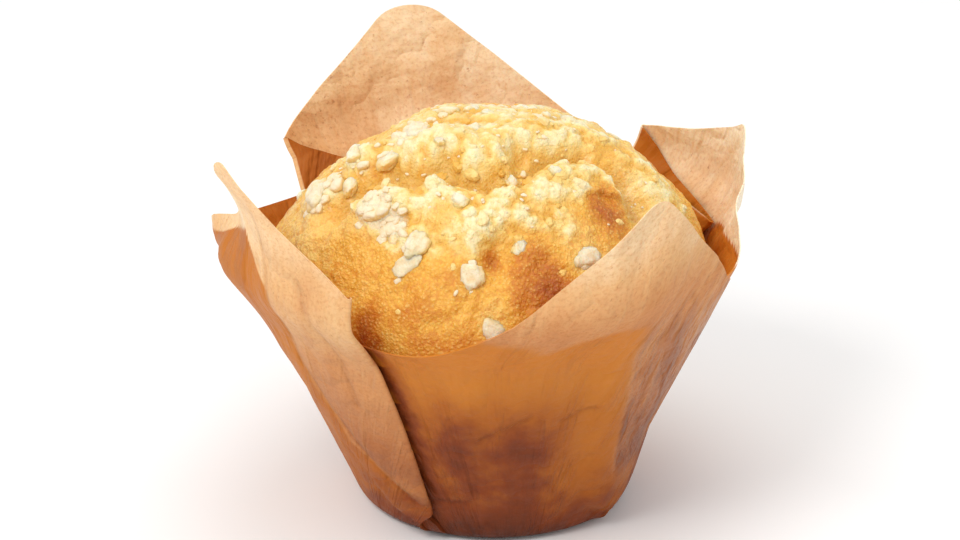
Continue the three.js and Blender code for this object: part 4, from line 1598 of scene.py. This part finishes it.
def icosphere(detail: int) -> tuple[Array, Array]:
    """Unit ball of even triangles.

    Args:
        detail: Times that each face is cut in four.

    Returns:
        Its points and faces.
    """
    golden = (1 + 5**0.5) / 2
    points = [(-1, golden, 0), (1, golden, 0), (-1, -golden, 0), (1, -golden, 0)]
    points += [(0, y, z) for y, z in ((-1, golden), (1, golden), (-1, -golden), (1, -golden))]
    points += [(x, 0, z) for x, z in ((golden, -1), (golden, 1), (-golden, -1), (-golden, 1))]
    ball = [Vector(p).normalized() for p in points]
    faces = [
        (0, 11, 5), (0, 5, 1), (0, 1, 7), (0, 7, 10), (0, 10, 11), (1, 5, 9), (5, 11, 4),
        (11, 10, 2), (10, 7, 6), (7, 1, 8), (3, 9, 4), (3, 4, 2), (3, 2, 6), (3, 6, 8),
        (3, 8, 9), (4, 9, 5), (2, 4, 11), (6, 2, 10), (8, 6, 7), (9, 8, 1),
    ]
    for _ in range(detail):
        middles: dict[tuple[int, int], int] = {}
        cut = []
        for face in faces:
            mids = []
            for a, b in ((face[0], face[1]), (face[1], face[2]), (face[2], face[0])):
                key = (min(a, b), max(a, b))
                if key not in middles:
                    middles[key] = len(ball)
                    ball.append((ball[a] + ball[b]).normalized())
                mids.append(middles[key])
            cut += [(face[0], mids[0], mids[2]), (face[1], mids[1], mids[0])]
            cut += [(face[2], mids[2], mids[1]), tuple(mids)]
        faces = cut
    return np.array(ball), np.array(faces)


# ---- studio

@dataclass
class Studio:
    """Pale floor, soft light and the camera."""

    elevation: float = 28.0
    distance: float = 600.0
    focal_pixels: float = 3060.0
    base_pixel: tuple[float, float] = (487.0, 480.0)
    frame_size: tuple[int, int] = (960, 540)

    def camera(self) -> None:
        """Aims the camera so that the case's foot falls where it should in the frame."""
        e = math.radians(self.elevation)
        eye = Vector((0.0, -math.cos(e), math.sin(e))) * self.distance
        scale = self.focal_pixels / self.distance
        right = (self.frame_size[0] / 2 - self.base_pixel[0]) / scale
        rise = (self.base_pixel[1] - self.frame_size[1] / 2) / scale
        aim = Vector((right, rise * math.sin(e), rise * math.cos(e)))
        data = bpy.data.cameras.new("camera")
        data.sensor_width = 36.0
        data.lens = self.focal_pixels / self.frame_size[0] * data.sensor_width
        data.clip_start, data.clip_end = 0.01, 20.0
        made = bpy.data.objects.new("camera", data)
        made.location = eye * MM
        made.rotation_euler = (aim - eye).to_track_quat("-Z", "Y").to_euler()
        bpy.context.scene.collection.objects.link(made)
        bpy.context.scene.camera = made

    def lamp(self, name: str, place: tuple, size: float, watts: float, tint: tuple) -> None:
        """Adds a soft square lamp aimed at the muffin.

        Args:
            name: The lamp's name.
            place: Where it hangs, in metres.
            size: Its side in metres.
            watts: Its power.
            tint: Its colour.
        """
        data = bpy.data.lights.new(name, "AREA")
        data.size, data.energy, data.color = size, watts, tint
        made = bpy.data.objects.new(name, data)
        made.location = place
        made.rotation_euler = (Vector((0, 0, 0.04)) - Vector(place)).to_track_quat("-Z", "Y").to_euler()
        bpy.context.scene.collection.objects.link(made)

    def floor(self) -> None:
        """A wide pale floor."""
        g = Graph("studio_floor")
        material = g.finish({"Base Color": (0.93, 0.93, 0.93, 1.0), "Roughness": 0.9})
        corners = 3000.0 * np.array([(-1, -1, 0), (1, -1, 0), (1, 1, 0), (-1, 1, 0)])
        made = Shell(corners, np.array([[0, 1, 2, 3]])).piece("floor", material)

    def build(self) -> None:
        """Sets the stage."""
        scene = bpy.context.scene
        scene.view_settings.view_transform = "Standard"
        world = bpy.data.worlds.new("studio")
        world.use_nodes = True
        sky = world.node_tree.nodes["Background"].inputs
        sky["Color"].default_value = (1.0, 1.0, 1.0, 1.0)
        sky["Strength"].default_value = 0.8
        scene.world = world
        self.floor()
        self.lamp("key", (-0.32, -0.42, 0.62), 0.26, 2.5, (1.0, 0.98, 0.95))
        self.lamp("top", (0.05, 0.10, 0.70), 0.40, 1.0, (1.0, 1.0, 1.0))
        self.camera()


def main() -> None:
    """Builds every piece in order and logs how many faces each has."""
    logging.basicConfig(level=logging.INFO, format="%(message)s")
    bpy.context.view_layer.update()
    case = PaperCase().build()
    LOG.info("case: %d faces", len(case.data.polygons))
    cake = Cake()
    body = cake.build()
    LOG.info("cake: %d faces", len(body.data.polygons))
    sugar = Sugar(cake).build()
    for made in sugar:
        LOG.info("%s: %d faces", made.name, len(made.data.polygons))
    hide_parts("muffin")
    Studio().build()
    LOG.info("studio set")


if __name__ == "__main__":
    main()
